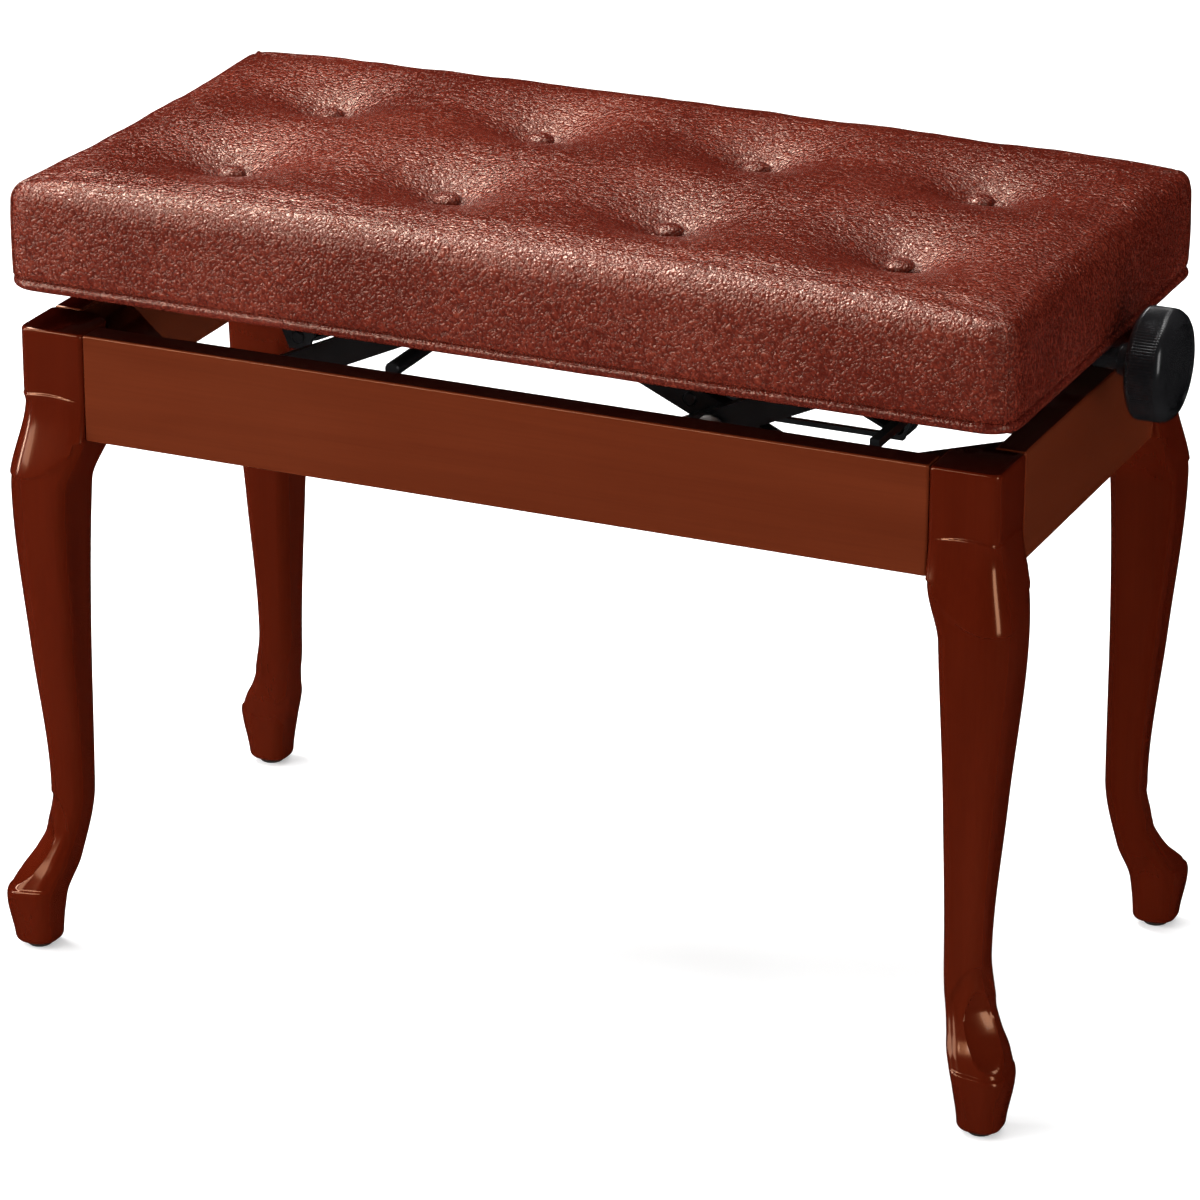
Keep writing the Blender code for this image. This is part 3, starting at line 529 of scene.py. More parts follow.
def build_leg(side, sign_y, end, sign_x):
    """Carved cabriole leg, mirrored to its corner of the frame."""
    rings = []
    for z in leg_heights():
        outline, outer, inner, arris = section_outline(z)
        ring = []
        for a, b in outline:
            a, b = leg_point(a, b, z, outer, inner, arris)
            ring.append((MIDDLE_X + sign_x * (HALF_LENGTH + a), sign_y * (HALF_DEPTH + b), z))
        rings.append(ring)
    name = f"leg_{side}_{end}"
    leg = lofted(f"{name}_carved", rings, LEG_WOOD)
    leg.data.set_sharp_from_angle(angle=math.radians(42))
    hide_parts(name)
    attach(leg, "base")


def build_rails():
    """Aprons with softly rounded edges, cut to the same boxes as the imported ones."""
    for name, look in (("front", WOOD_X), ("rear", WOOD_X), ("left", WOOD_Y), ("right", WOOD_Y)):
        low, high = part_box(f"apron_{name}")
        rings = [
            [(low.x, low.y, z), (high.x, low.y, z), (high.x, high.y, z), (low.x, high.y, z)]
            for z in (low.z, high.z)
        ]
        rail = soften(lofted(f"apron_{name}_rail", rings, look), 0.0016)
        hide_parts(f"apron_{name}")
        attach(rail, "base")


# ---------------------------------------------------------------- seat

# Shape of the pad: level of its top and crown, plan corner, edge roundings, foot of the cover
SEAT_PLANE, CROWN = 0.4700, 0.0120
SEAT_CORNER = 0.016
TIGHT_EDGE, FRONT_EDGE, SIDE_EDGE = 0.009, 0.019, 0.017
CORNER_PULL = 0.105
HEM_Z = 0.4150
HEM_TUCK = 0.0018
WALL_BULGE = 0.0006
BOARD_GAP = 0.0004

# Dimples round the buttons, the groove inside the edge, and the creases
NEAR_PULL, NEAR_REACH = 0.0088, 0.0135
WIDE_PULL, WIDE_REACH = 0.0105, 0.036
GROOVE_DEPTH, GROOVE_INSET, GROOVE_WIDTH = 0.0023, 0.0215, 0.0052
CREASES_PER_BUTTON = 6
CREASE_START, CREASE_RANGE = 0.004, 0.065

# The cover's grid: its top lies inside the tight rounding, the wall hangs from its rim
GRID_HALF_X = WALL_HALF_X - TIGHT_EDGE
GRID_HALF_Y = WALL_HALF_Y - TIGHT_EDGE
GRID_CORNER = SEAT_CORNER - TIGHT_EDGE
CORNER_LINES, TOP_STEPS_X, TOP_STEPS_Y = 6, 140, 68
EDGE_ROWS, WALL_ROWS = 8, 12
SEAM_TOP_POINTS = 9

# How the cover is held while it is blown up, and how far it may move
BUTTON_HOLD = 0.018
PUFF_LIMIT = 0.006
PUFF_FRAMES = 20

# Where the piping is lapped, and how the buttons sit
PIPING_JOINT_Y = 0.004
BUTTON_LIFT = 0.0046
BUTTON_SCALE = 0.95


def edge_radius(along, half, widest):
    """Rounding of the top edge: tight where the corner seams pull, soft between them."""
    return TIGHT_EDGE + (widest - TIGHT_EDGE) * smoothstep(0.0, CORNER_PULL, half - abs(along))


def edge_drop(inset, radius):
    """Fall of the rounded edge below the top plane at a distance in from the wall."""
    if inset >= radius:
        return 0.0
    return radius - max(0.0, radius ** 2 - (radius - inset) ** 2) ** 0.5


def cushion_height(x, y):
    """Upper surface of the pad before its edges are rounded: crown, puffs and button dimples."""
    u, v = x - MIDDLE_X, y
    across = clamp(1 - abs(u / WALL_HALF_X) ** 4)
    along = clamp(1 - (v / WALL_HALF_Y) ** 2)
    height = SEAT_PLANE + CROWN * across ** 0.7 * (0.62 + 0.38 * along)
    pull = 0.0
    for centre in BUTTON_CENTRES:
        dx, dy = x - centre.x, y - centre.y
        distance = (dx * dx + dy * dy) ** 0.5
        stretch = 1 + 0.10 * math.cos(2 * math.atan2(dy, dx))
        reach = max(0.0, distance - 0.006) / stretch
        pull += NEAR_PULL * bell(reach, NEAR_REACH, 1.5) + WIDE_PULL * bell(reach, WIDE_REACH)
    inset = min(WALL_HALF_Y - abs(v), WALL_HALF_X - abs(u))
    return height - pull - GROOVE_DEPTH * bell(inset - GROOVE_INSET, GROOVE_WIDTH)


def crease_lines():
    """Soft pull lines that run out from each button: (x, y, direction, length, depth)."""
    pick = random.Random(7)
    lines = []
    for centre in BUTTON_CENTRES:
        start = pick.uniform(0, math.pi)
        for k in range(CREASES_PER_BUTTON):
            direction = start + k * 2 * math.pi / CREASES_PER_BUTTON + pick.uniform(-0.32, 0.32)
            length, depth = pick.uniform(0.022, 0.040), pick.uniform(0.0003, 0.0008)
            lines.append((centre.x, centre.y, direction, length, depth))
    return lines


CREASES = crease_lines()


def crease_depth(x, y):
    total = 0.0
    for cx, cy, direction, length, depth in CREASES:
        dx, dy = x - cx, y - cy
        if dx * dx + dy * dy > CREASE_RANGE ** 2:
            continue
        along = dx * math.cos(direction) + dy * math.sin(direction)
        if along < CREASE_START:
            continue
        across = -dx * math.sin(direction) + dy * math.cos(direction)
        across += 0.0015 * math.sin(along * 120 + cx * 90)
        width = 0.0016 + along * 0.10
        fade = smoothstep(CREASE_START, 0.011, along) * (1 - smoothstep(0.4 * length, length * 1.25, along))
        total += depth * fade * bell(across, width)
    return total


def skin_noise(x, y, z):
    """Slow unevenness of the stuffing and the hide."""
    slow = noise.noise(Vector((x * 26, y * 26, z * 26)))
    middle = noise.noise(Vector((x * 75 + 5, y * 75, z * 75)))
    return 0.0008 * slow + 0.00028 * middle


def spread(limit, count):
    """Grid lines from -limit to limit: close ones in the corners and count steps between them."""
    inner = limit - GRID_CORNER
    lines = [-limit + GRID_CORNER * k / CORNER_LINES for k in range(CORNER_LINES)]
    lines += [-inner + 2 * inner * i / count for i in range(count + 1)]
    return lines + [inner + GRID_CORNER * (k + 1) / CORNER_LINES for k in range(CORNER_LINES)]


def into_corner(x, y):
    """Moves a grid point in a corner square into the quarter disc that rounds it."""
    over_x, over_y = abs(x) - (GRID_HALF_X - GRID_CORNER), abs(y) - (GRID_HALF_Y - GRID_CORNER)
    if over_x <= 0 or over_y <= 0:
        return x, y
    p, q = over_x / GRID_CORNER, over_y / GRID_CORNER
    new_x = (GRID_HALF_X - GRID_CORNER) + GRID_CORNER * p * (1 - q * q / 2) ** 0.5
    new_y = (GRID_HALF_Y - GRID_CORNER) + GRID_CORNER * q * (1 - p * p / 2) ** 0.5
    return math.copysign(new_x, x), math.copysign(new_y, y)


def add_top(points, freedom):
    """Adds the top of the cover inside its edge; returns the point numbers as columns."""
    grid = []
    for gx in spread(GRID_HALF_X, TOP_STEPS_X):
        column = []
        for gy in spread(GRID_HALF_Y, TOP_STEPS_Y):
            px, y = into_corner(gx, gy)
            x = px + MIDDLE_X
            z = cushion_height(x, y) - crease_depth(x, y) + skin_noise(x, y, 0)
            z -= edge_drop(WALL_HALF_X - abs(px), edge_radius(y, WALL_HALF_Y, SIDE_EDGE))
            z -= edge_drop(WALL_HALF_Y - abs(y), edge_radius(px, WALL_HALF_X, FRONT_EDGE))
            column.append(len(points))
            points.append((x, y, z))
            nearest = min(((x - c.x) ** 2 + (y - c.y) ** 2) ** 0.5 for c in BUTTON_CENTRES)
            freedom.append(smoothstep(BUTTON_RADIUS, BUTTON_RADIUS + BUTTON_HOLD, nearest))
        grid.append(column)
    return grid


def rim_of(grid):
    """Point numbers round the border of the grid, anticlockwise from the front left corner."""
    last_x, last_y = len(grid) - 1, len(grid[0]) - 1
    rim = [grid[i][0] for i in range(last_x)] + [grid[last_x][j] for j in range(last_y)]
    return rim + [grid[i][last_y] for i in range(last_x, 0, -1)] + [grid[0][j] for j in range(last_y, 0, -1)]


def rim_normal(x, y):
    """Outward direction of the cover's wall at a point of the rim."""
    core_x = clamp(x, GRID_CORNER - GRID_HALF_X, GRID_HALF_X - GRID_CORNER)
    core_y = clamp(y, GRID_CORNER - GRID_HALF_Y, GRID_HALF_Y - GRID_CORNER)
    return Vector((x - core_x, y - core_y)).normalized()


def wall_radius(x, y, normal):
    """Rounding of the top edge above a point of the rim: tight all round a corner."""
    if abs(normal.x) > abs(normal.y):
        return edge_radius(y, WALL_HALF_Y, SIDE_EDGE) if abs(normal.y) < 0.01 else TIGHT_EDGE
    return edge_radius(x, WALL_HALF_X, FRONT_EDGE) if abs(normal.x) < 0.01 else TIGHT_EDGE


def wall_point(x, y, level):
    """Point below a rim point, and how freely it may move. The levels go round the edge, then down."""
    normal = rim_normal(x, y)
    radius = wall_radius(x, y, normal)
    start = math.asin((radius - TIGHT_EDGE) / radius)
    turn = start + (math.pi / 2 - start) * min(level, EDGE_ROWS) / EDGE_ROWS
    out = TIGHT_EDGE - radius * (1 - math.sin(turn))
    wx, wy = x + normal.x * out, y + normal.y * out
    height = cushion_height(MIDDLE_X + wx, wy) - radius * (1 - math.cos(turn))
    share = max(0, level - EDGE_ROWS) / WALL_ROWS
    height += (HEM_Z - height) * share
    out += WALL_BULGE * math.sin(math.pi * share) - HEM_TUCK * smoothstep(0.93, 1.0, share)
    out += 0.7 * skin_noise(wx, wy, height) * (1 - smoothstep(0.75, 1.0, share))
    corner_hold = 0.25 if radius == TIGHT_EDGE else 1.0
    free = 0.22 * (1 - smoothstep(0.55, 0.95, share)) * corner_hold
    return (MIDDLE_X + x + normal.x * out, y + normal.y * out, height), free


def cover_faces(grid, rows):
    """Quads of the top and, between successive rows, of the edge, the wall and the hem."""
    faces = []
    for near, far in zip(grid, grid[1:]):
        for j in range(len(near) - 1):
            faces.append((near[j], far[j], far[j + 1], near[j + 1]))
    for above, below in zip(rows, rows[1:]):
        for i in range(len(above)):
            j = (i + 1) % len(above)
            faces.append((above[i], above[j], below[j], below[i]))
    return faces


def corner_seams(grid, rows):
    """Paths of the corner seams, from the top of the pad over its edge and down to the hem."""
    last_x, last_y = len(grid) - 1, len(grid[0]) - 1
    seams = []
    for i, j in ((0, 0), (last_x, 0), (last_x, last_y), (0, last_y)):
        step_i, step_j = (1 if i == 0 else -1), (1 if j == 0 else -1)
        inward = [grid[i + step_i * k][j + step_j * k] for k in range(SEAM_TOP_POINTS, 0, -1)]
        place = rows[0].index(grid[i][j])
        seams.append(inward + [row[place] for row in rows[:-2]])
    return seams


def cover_mesh():
    """Cover as points, faces, how freely each point may move, and the paths of the four corner seams."""
    points, freedom = [], []
    grid = add_top(points, freedom)
    rows = [rim_of(grid)]
    for level in range(1, EDGE_ROWS + WALL_ROWS + 1):
        first = len(points)
        for source in rows[0]:
            x, y, _ = points[source]
            point, free = wall_point(x - MIDDLE_X, y, level)
            points.append(point)
            freedom.append(free)
        rows.append(range(first, len(points)))
    low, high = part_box("seat_board")
    for z in (HEM_Z - 0.0004, high.z + 0.0006):
        first = len(points)
        for source in rows[-1]:
            x, y, _ = points[source]
            x = clamp(x, low.x - BOARD_GAP, high.x + BOARD_GAP)
            y = clamp(y, low.y - BOARD_GAP, high.y + BOARD_GAP)
            points.append((x, y, z))
            freedom.append(0.0)
        rows.append(range(first, len(points)))
    return points, cover_faces(grid, rows), freedom, corner_seams(grid, rows)


def inflate(item, freedom):
    """Blows the cover up against its seams and buttons with a short cloth run, then keeps the result."""
    held = item.vertex_groups.new(name="held")
    for number, free in enumerate(freedom):
        if free < 0.5:
            held.add([number], 1.0 if free < 0.12 else 0.6, "REPLACE")
    before = [vertex.co.copy() for vertex in item.data.vertices]
    cloth = item.modifiers.new("inflate", "CLOTH")
    settings = cloth.settings
    settings.quality = 3
    settings.mass = 0.25
    settings.tension_stiffness = 12
    settings.compression_stiffness = 12
    settings.shear_stiffness = 6
    settings.bending_stiffness = 0.6
    settings.use_pressure = True
    settings.uniform_pressure_force = 4.0
    settings.vertex_group_mass = "held"
    settings.effector_weights.gravity = 0.0
    cloth.collision_settings.use_collision = False
    for step in range(1, PUFF_FRAMES + 1):
        bpy.context.scene.frame_set(step)
    blown = item.evaluated_get(bpy.context.evaluated_depsgraph_get()).to_mesh()
    after = [vertex.co.copy() for vertex in blown.vertices]
    item.modifiers.remove(cloth)
    bpy.context.scene.frame_set(1)
    for vertex, start, end, free in zip(item.data.vertices, before, after, freedom):
        move = end - start
        limit = PUFF_LIMIT * free
        if move.length > limit:
            move = move.normalized() * limit
        vertex.co = start + move
    item.vertex_groups.clear()


def build_cushion():
    """Buttoned cover, blown up against its seams, with a stitched cord down each corner."""
    points, faces, freedom, seams = cover_mesh()
    cover = mesh_object("seat_cover", points, faces, LEATHER)
    inflate(cover, freedom)
    seam_paths = [[cover.data.vertices[i].co.copy() for i in seam] for seam in seams]
    subdivide_and_close(cover)
    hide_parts("seat_cushion")
    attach(cover, "seat")
    for number, path in enumerate(seam_paths):
        build_seam(f"corner_seam_{number + 1}", path)


def subdivide_and_close(item):
    """One smooth subdivision, then a face over the open underside."""
    finer = item.modifiers.new("finer", "SUBSURF")
    finer.levels = finer.render_levels = 1
    fine = bpy.data.meshes.new_from_object(item.evaluated_get(bpy.context.evaluated_depsgraph_get()))
    item.modifiers.clear()
    item.data = fine
    made = bmesh.new()
    made.from_mesh(fine)
    bmesh.ops.edgeloop_fill(made, edges=[edge for edge in made.edges if edge.is_boundary])
    bmesh.ops.recalc_face_normals(made, faces=made.faces)
    made.to_mesh(fine)
    made.free()
    fine.shade_smooth()


def build_seam(name, path):
    """Thin raised line of a sewn corner, fading out on the top of the pad."""
    rings = []
    for i, here in enumerate(path):
        ahead, behind = path[min(i + 1, len(path) - 1)], path[max(i - 1, 0)]
        tangent = (ahead - behind).normalized()
        outward = Vector((here.x - MIDDLE_X, here.y, 0)).normalized()
        if i < SEAM_TOP_POINTS:
            outward.z += 0.3
        side = tangent.cross(outward).normalized()
        lift = side.cross(tangent).normalized()
        radius = 0.0009 * smoothstep(0, 4, i) + 0.0001
        rings.append([
            tuple(here + (side * math.cos(a) + lift * math.sin(a)) * radius)
            for a in (2 * math.pi * k / 8 for k in range(8))
        ])
    seam = lofted(name, rings, LEATHER)
    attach(seam, "seat")


def piping_path(centre_x, half_x, half_y):
    """Centre line of the cord round the seat, in steps of about 3 mm."""
    path = []
    for sign_x, sign_y, start in ((1, 1, 0), (-1, 1, 90), (-1, -1, 180), (1, -1, 270)):
        for step in range(13):
            angle = math.radians(start + 90 * step / 12)
            path.append((
                centre_x + sign_x * (half_x - SEAT_CORNER) + SEAT_CORNER * math.cos(angle),
                sign_y * (half_y - SEAT_CORNER) + SEAT_CORNER * math.sin(angle),
            ))
    dense = []
    for (x0, y0), (x1, y1) in zip(path, path[1:] + path[:1]):
        count = max(1, int(((x1 - x0) ** 2 + (y1 - y0) ** 2) ** 0.5 / 0.003))
        dense += [(x0 + (x1 - x0) * k / count, y0 + (y1 - y0) * k / count) for k in range(count)]
    return dense


def build_piping():
    """Covered cord round the seat's lower edge, with a small lapped joint on the right side."""
    low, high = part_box("seat_piping")
    radius = (high.z - low.z) / 2
    half_x, half_y = (high.x - low.x) / 2 - radius, high.y - radius
    centre_x = (low.x + high.x) / 2
    dense = piping_path(centre_x, half_x, half_y)
    rings = []
    for i, (x, y) in enumerate(dense):
        ahead, behind = dense[(i + 1) % len(dense)], dense[i - 1]
        tangent = Vector((ahead[0] - behind[0], ahead[1] - behind[1])).normalized()
        outward = Vector((tangent.y, -tangent.x))
        swell = 1 + 0.035 * noise.noise(Vector((x * 60, y * 60, 3)))
        if x > centre_x + half_x - 0.002:
            swell += 0.16 * bell(y - PIPING_JOINT_Y, 0.005)
        reach = radius * min(swell, 1.16) * 0.97
        ring = []
        for k in range(16):
            angle = 2 * math.pi * k / 16
            out, up = reach * math.cos(angle) - 0.0004, reach * math.sin(angle)
            ring.append((x + outward.x * out, y + outward.y * out, (low.z + high.z) / 2 + up))
        rings.append(ring)
    piping = lofted("seat_piping_cord", rings, PIPING_LEATHER, closed=True)
    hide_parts("seat_piping")
    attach(piping, "seat")


def build_buttons():
    """Leather-covered domes with gathered rims, sitting in the dimples."""
    profile = [
        (-0.0050, 0.62), (-0.0020, 0.74), (-0.0008, 0.96), (0.0002, 1.06), (0.0014, 1.05), (0.0027, 0.92),
        (0.0037, 0.72), (0.0044, 0.45), (0.0047, 0.20), (0.0048, 0.04),
    ]
    for row, (side, _) in enumerate(SIDES):
        for column in range(4):
            centre = BUTTON_CENTRES[row * 4 + column]
            seat = cushion_height(centre.x, centre.y) + BUTTON_LIFT
            rings = []
            for up, size in profile:
                ring = []
                for k in range(40):
                    angle = 2 * math.pi * k / 40
                    gather = 1 + 0.018 * math.sin(angle * 11 + column) * (1.0 if up < 0.002 else 0.3)
                    reach = BUTTON_RADIUS * size * gather * BUTTON_SCALE
                    x, y = centre.x + reach * math.cos(angle), centre.y + reach * math.sin(angle)
                    ring.append((x, y, seat + up))
                rings.append(ring)
            button = lofted(f"covered_button_{side}_{column + 1}", rings, LEATHER)
            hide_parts(f"button_{side}_{column + 1}")
            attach(button, "seat")


# ---------------------------------------------------------------- spindle and knob

SPINDLE_LOW, SPINDLE_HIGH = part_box("spindle")
AXIS_Y = (SPINDLE_LOW.y + SPINDLE_HIGH.y) / 2
AXIS_Z = (SPINDLE_LOW.z + SPINDLE_HIGH.z) / 2
KNOB_LOW, KNOB_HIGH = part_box("knob")
KNOB_RADIUS = (KNOB_HIGH.y - KNOB_LOW.y) / 2
CAP_LOW, CAP_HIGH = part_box("knob_cap")
THREAD_PITCH, THREAD_DEPTH = 0.005, 0.0008
KNOB_RIBS, RIB_DEPTH = 116, 0.0006


def turned_rings(stations, segments):
    """Rings about the spindle axis; each station is (x, radius) or (x, function of angle)."""
    rings = []
    for x, radius in stations:
        ring = []
        for i in range(segments):
            angle = 2 * math.pi * i / segments
            reach = radius(angle) if callable(radius) else radius
            ring.append((x, AXIS_Y + reach * math.cos(angle), AXIS_Z + reach * math.sin(angle)))
        rings.append(ring)
    return rings


def build_spindle():
    """Rod with a rolled trapezoidal thread up to the thrust collar, plain beyond it."""
    radius = (SPINDLE_HIGH.z - SPINDLE_LOW.z) / 2
    thread_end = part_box("thrust_collar_inner")[0].x - 0.004
    rows = int((thread_end - SPINDLE_LOW.x - 0.002) / THREAD_PITCH * 6)
    stations = [(SPINDLE_LOW.x, radius - 0.0016), (SPINDLE_LOW.x + 0.0015, radius - THREAD_DEPTH)]
    for k in range(rows + 1):
        x = SPINDLE_LOW.x + 0.002 + (thread_end - SPINDLE_LOW.x - 0.002) * k / rows

        def thread(angle, x=x):
            phase = (x / THREAD_PITCH - angle / (2 * math.pi)) % 1.0
            return radius - THREAD_DEPTH * clamp(abs(phase - 0.5) * 6 - 1.0)

        stations.append((x, thread))
    stations += [(thread_end + 0.0015, radius), (SPINDLE_HIGH.x, radius)]
    rod = lofted("threaded_spindle", turned_rings(stations, 20), ZINC_STEEL)
    rod.data.set_sharp_from_angle(angle=math.radians(50))
    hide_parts("spindle")
    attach(rod, "knob")


def build_knob():
    """Ribbed round knob with a stepped collar behind and a shallow dished face."""

    def ribbed(radius):
        return lambda angle: radius - RIB_DEPTH * (0.5 + 0.5 * math.cos(KNOB_RIBS * angle)) ** 1.5

    back, front = KNOB_LOW.x + 0.009, KNOB_HIGH.x
    r = KNOB_RADIUS
    stations = [
        (KNOB_LOW.x, 0.0088), (KNOB_LOW.x + 0.0006, 0.0096),
        (back - 0.0016, 0.0100), (back - 0.0003, 0.0108),
        (back, 0.0130), (back + 0.0002, r - 0.0052), (back + 0.0007, r - 0.0030),
        (back + 0.0018, r - 0.0014), (back + 0.0028, r - 0.0007),
        (back + 0.0031, ribbed(r - 0.0002)), (back + 0.0050, ribbed(r)),
        (front - 0.0085, ribbed(r)), (front - 0.0060, ribbed(r - 0.0002)),
        (front - 0.0056, r - 0.0004), (front - 0.0044, r - 0.0009), (front - 0.0022, r - 0.0024),
        (front - 0.0008, r - 0.0044), (front - 0.0001, r - 0.0064), (front, r - 0.0074),
        (front - 0.0003, r - 0.0082), (front - 0.0024, r - 0.0086),
    ]
    knob = lofted("ribbed_knob", turned_rings(stations, KNOB_RIBS * 4), KNOB_PLASTIC)
    knob.data.set_sharp_from_angle(angle=math.radians(48))
    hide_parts("knob")
    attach(knob, "knob")


def build_knob_neck():
    """Sleeve with a collar at the seat's side, between the seat and the knob."""
    collar = SEAT_HIGH.x + 0.0045
    stations = [
        (collar - 0.014, 0.0052), (collar - 0.0138, 0.0064), (collar, 0.0064), (collar + 0.0004, 0.0086),
        (collar + 0.0012, 0.0092), (KNOB_LOW.x + 0.0012, 0.0092), (KNOB_LOW.x + 0.0016, 0.0088),
    ]
    neck = lofted("knob_neck", turned_rings(stations, 48), KNOB_PLASTIC)
    neck.data.set_sharp_from_angle(angle=math.radians(48))
    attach(neck, "knob")


def build_knob_face():
    """Plain, slightly domed disc in the knob's face."""
    edge = (CAP_HIGH.y - CAP_LOW.y) / 2
    seat = CAP_LOW.x
    stations = [
        (seat, edge - 0.0004), (seat + 0.0004, edge), (seat + 0.0010, edge - 0.0003),
        (seat + 0.0016, edge - 0.0011), (seat + 0.0019, edge - 0.0022), (seat + 0.0020, edge * 0.72),
        (seat + 0.00195, edge * 0.42), (seat + 0.0019, 0.0010),
    ]
    cap = lofted("knob_face_disc", turned_rings(stations, 96), KNOB_PLASTIC)
    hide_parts("knob_cap")
    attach(cap, "knob")


# ---------------------------------------------------------------- steel lift

DISC_SIDES = 28


def dress_cad_nodes():
    """Better materials and softened edges for the CAD pieces that stay."""
    looks = {
        "arm_": BLACK_STEEL, "base_guide": BLACK_STEEL, "base_pivot": DARK_SHAFT, "seat_angle": BLACK_STEEL,
        "bearing_bar": BLACK_STEEL, "upper_slide": DARK_SHAFT, "falling_arm_tie": BLACK_STEEL,
        "seat_tie_rod": DARK_SHAFT, "seat_pivot": DARK_SHAFT, "cross_pin": ZINC_STEEL,
        "spindle_nut": ZINC_STEEL, "thrust_collar": ZINC_STEEL,
        "leg_bolt": ZINC_STEEL, "foot_glide": GLIDE_PLASTIC, "corner_block": BLOCK_WOOD,
        "seat_board": PLYWOOD,
    }
    for name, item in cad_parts.items():
        for start, look in looks.items():
            if not name.startswith(start) or item.hide_render:
                continue
            item.data.materials.clear()
            item.data.materials.append(look)
            if start in ("base_guide", "seat_angle", "bearing_bar", "corner_block", "spindle_nut"):
                soften(item, 0.0005, 2)


def disc(name, centre, axis, radius, thickness, look, dome=0.0):
    """Short cylinder with a rounded rim, for rivet heads, washers and screw heads."""
    axis = Vector(axis).normalized()
    first = axis.orthogonal().normalized()
    second = axis.cross(first)
    rim = min(0.0006, thickness * 0.4)
    stations = [
        (0.0, radius), (thickness - rim, radius), (thickness - rim * 0.3, radius - rim * 0.3),
        (thickness, radius - rim),
    ]
    if dome:
        stations += [(thickness + dome * 0.7, radius * 0.55), (thickness + dome, radius * 0.12)]
    rings = []
    for along, reach in stations:
        ring = []
        for k in range(DISC_SIDES):
            angle = 2 * math.pi * k / DISC_SIDES
            outward = first * math.cos(angle) + second * math.sin(angle)
            ring.append(tuple(Vector(centre) + axis * along + outward * reach))
        rings.append(ring)
    return lofted(name, rings, look)


def pin_end(node, sign):
    """Middle of a cross pin's end face: the front one for -1, the rear one for 1."""
    low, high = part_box(node)
    return (low.x + high.x) / 2, (high.y if sign > 0 else low.y), (low.z + high.z) / 2


def build_fastenings():
    """Retaining rings on the shafts, rivet heads at the crossing and screws through the steel."""
    shafts = {
        "upper_slide_shaft_left": "left_arms",
        "upper_slide_shaft_right": "rising_arms",
        "seat_pivot_shaft": "seat",
    }
    for shaft, body in shafts.items():
        for side, sign in SIDES:
            x, y, z = pin_end(shaft, sign)
            centre = (x, y - sign * 0.0014, z)
            ring = disc(f"{shaft}_ring_{side}", centre, (0, sign, 0), 0.0062, 0.0010, ZINC_STEEL)
            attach(ring, body)
    heads = [
        ("base_pivot_left", "pivot_head_left", "base", 0.0070, 0.0010, 0.0010),
        ("base_pivot_middle", "pivot_head_middle", "base", 0.0070, 0.0010, 0.0010),
        ("cross_pin", "cross_rivet", "rising_arms", 0.0078, 0.0016, 0.0014),
    ]
    for pin, name, body, radius, thickness, dome in heads:
        for side, sign in SIDES:
            centre = pin_end(f"{pin}_{side}", sign)
            head = disc(f"{name}_{side}", centre, (0, sign, 0), radius, thickness, ZINC_STEEL, dome)
            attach(head, body)
    for side, sign in SIDES:
        low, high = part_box(f"seat_angle_{side}")
        y = (low.y if sign > 0 else high.y) + sign * 0.0075
        for k, share in enumerate((0.06, 0.50, 0.94)):
            centre = (low.x + (high.x - low.x) * share, y, high.z - 0.0031)
            head = disc(f"board_screw_{side}_{k}", centre, (0, 0, -1), 0.0040, 0.0010, ZINC_STEEL, 0.0010)
            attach(head, "seat")


# ---------------------------------------------------------------- studio


def area_light(name, place, target, size_x, size_y, watts):
    light = bpy.data.lights.new(name, "AREA")
    light.shape = "RECTANGLE"
    light.size = size_x
    light.size_y = size_y
    light.energy = watts
    item = bpy.data.objects.new(name, light)
    item.location = place
    item.rotation_euler = (Vector(target) - Vector(place)).to_track_quat("-Z", "Y").to_euler()
    bpy.context.scene.collection.objects.link(item)


def build_floor():
    """Pale floor that glows a little, so that it stays near white between the lights."""
    look, tree, shader = new_material(
        "pale_floor", (0.93, 0.93, 0.93), 0.8, Specular_IOR_Level=0.0,
        Emission_Color=(1.0, 1.0, 1.0, 1.0), Emission_Strength=0.34,
    )
    grain = texture(tree, coordinates(tree), Scale=3.0, Detail=2.0)
    stops = [(0.3, (0.92, 0.92, 0.92)), (0.7, (0.94, 0.94, 0.94))]
    tree.links.new(ramp(tree, grain, stops), shader.inputs["Base Color"])
    points = [(-9, -9, 0), (9, -9, 0), (9, 9, 0), (-9, 9, 0)]
    floor = mesh_object("studio_floor", points, [(0, 1, 2, 3)], look, smooth=False)
    floor.location.z = -0.0002
    floor.visible_glossy = False


def build_world():
    """White surroundings, brighter towards the front left and unseen in reflections."""
    world = bpy.data.worlds.new("studio")
    world.use_nodes = True
    tree = world.node_tree
    direction = add(tree, "ShaderNodeTexCoord")
    facing = add(tree, "ShaderNodeVectorMath", operation="DOT_PRODUCT")
    facing.inputs[1].default_value = (-0.62, -0.78, 0.0)
    tree.links.new(direction.outputs["Generated"], facing.inputs[0])
    side = add(tree, "ShaderNodeMapRange", From_Min=-1.0, From_Max=1.0, To_Min=0.34, To_Max=1.05)
    tree.links.new(facing.outputs["Value"], side.inputs["Value"])
    tree.nodes["Background"].inputs["Color"].default_value = (1.0, 1.0, 1.0, 1.0)
    tree.links.new(side.outputs["Result"], tree.nodes["Background"].inputs["Strength"])
    world.cycles_visibility.glossy = False
    bpy.context.scene.world = world


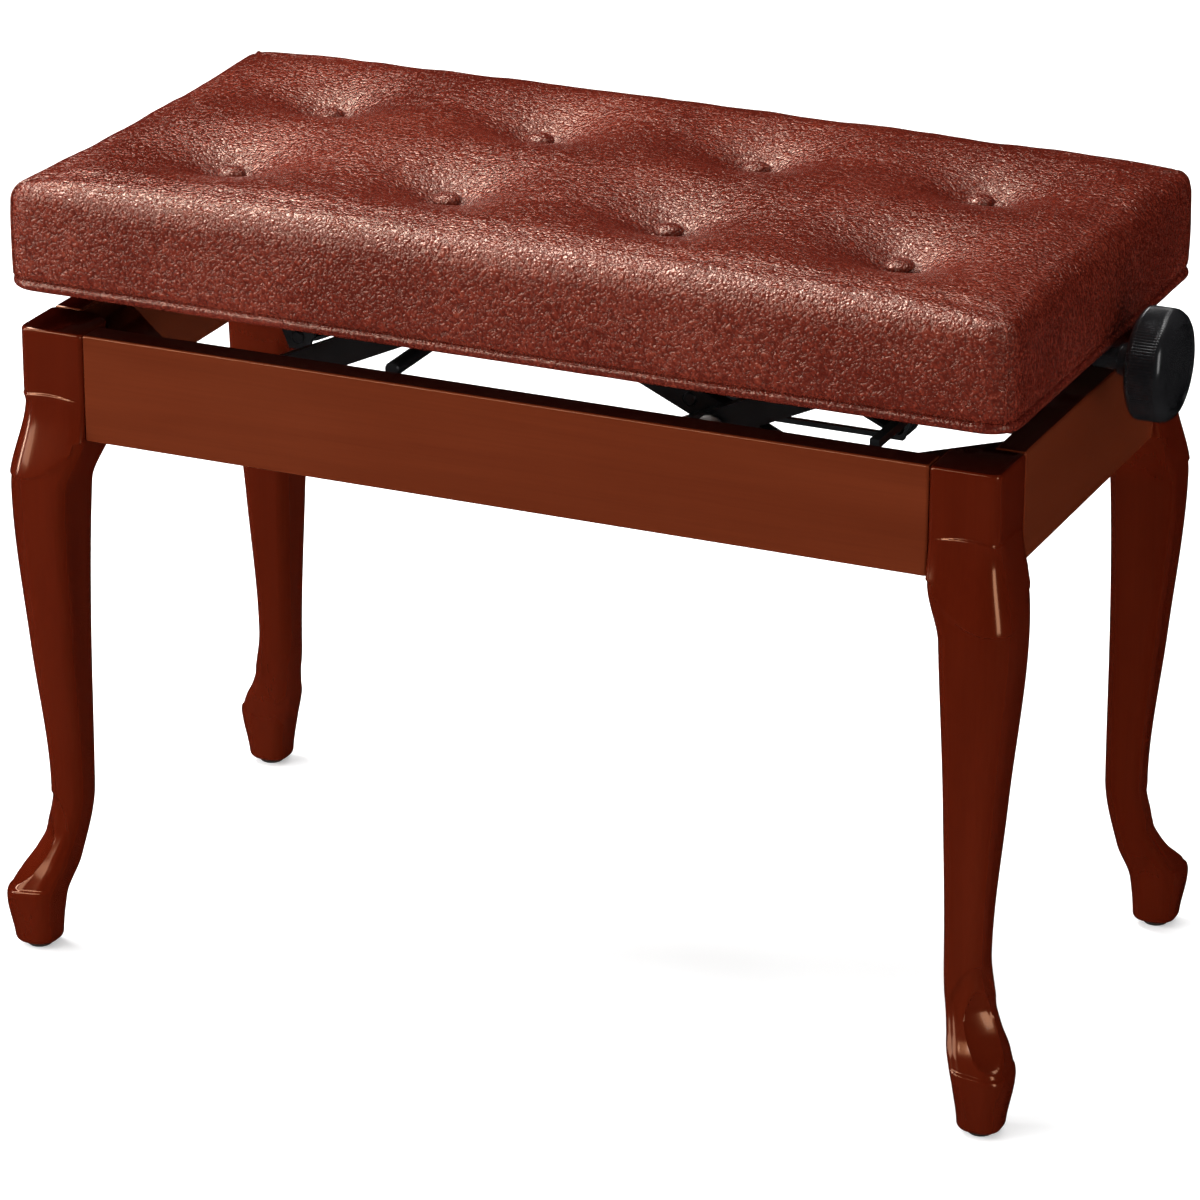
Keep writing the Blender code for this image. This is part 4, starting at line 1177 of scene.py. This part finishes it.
def build_studio():
    build_floor()
    build_world()
    area_light("left_softbox", (-2.0, -1.8, 1.1), (0, 0, 0.25), 1.2, 1.5, 20)
    area_light("front_strip", (-1.2, -1.8, 1.6), (-0.1, 0, 0.40), 1.6, 0.2, 15)
    area_light("right_softbox", (2.2, -1.3, 1.0), (0, 0, 0.25), 0.5, 1.5, 12)
    area_light("left_strip", (-1.9, -0.7, 0.9), (0, 0, 0.2), 0.14, 1.6, 12)
    area_light("edge_light", (-1.15, 0.15, 2.3), (0, -0.1, 0.46), 1.1, 0.95, 74)
    area_light("overhead", (0.3, 0.5, 2.2), (0, 0, 0.45), 1.2, 0.6, 10)
    bpy.context.scene.view_settings.view_transform = "Standard"


CAMERA_AZIMUTH = math.radians(23.93)
CAMERA_ELEVATION = math.radians(21.71)
CAMERA_ROLL = math.radians(0.175)
CAMERA_DISTANCE = 3.2333
CAMERA_LENS = 166.0
CAMERA_TARGET = Vector((MIDDLE_X - 0.0011, 0, 0.2132))


def build_camera():
    data = bpy.data.cameras.new("camera")
    data.lens = CAMERA_LENS
    data.sensor_width = 36.0
    data.clip_start = 0.05
    data.clip_end = 60
    camera = bpy.data.objects.new("camera", data)
    level = math.cos(CAMERA_ELEVATION)
    back = Vector((
        math.sin(CAMERA_AZIMUTH) * level, -math.cos(CAMERA_AZIMUTH) * level, math.sin(CAMERA_ELEVATION),
    ))
    right = Vector((0, 0, 1)).cross(back).normalized()
    up = back.cross(right)
    x_axis = math.cos(CAMERA_ROLL) * right + math.sin(CAMERA_ROLL) * up
    y_axis = -math.sin(CAMERA_ROLL) * right + math.cos(CAMERA_ROLL) * up
    turn = Matrix((x_axis, y_axis, back)).transposed().to_4x4()
    camera.matrix_world = Matrix.Translation(CAMERA_TARGET + back * CAMERA_DISTANCE) @ turn
    bpy.context.scene.collection.objects.link(camera)
    bpy.context.scene.camera = camera


for side_name, y_sign in SIDES:
    for end_name, x_sign in ENDS:
        build_leg(side_name, y_sign, end_name, x_sign)
build_rails()
build_cushion()
build_piping()
build_buttons()
build_spindle()
build_knob()
build_knob_neck()
build_knob_face()
dress_cad_nodes()
build_fastenings()
build_studio()
build_camera()
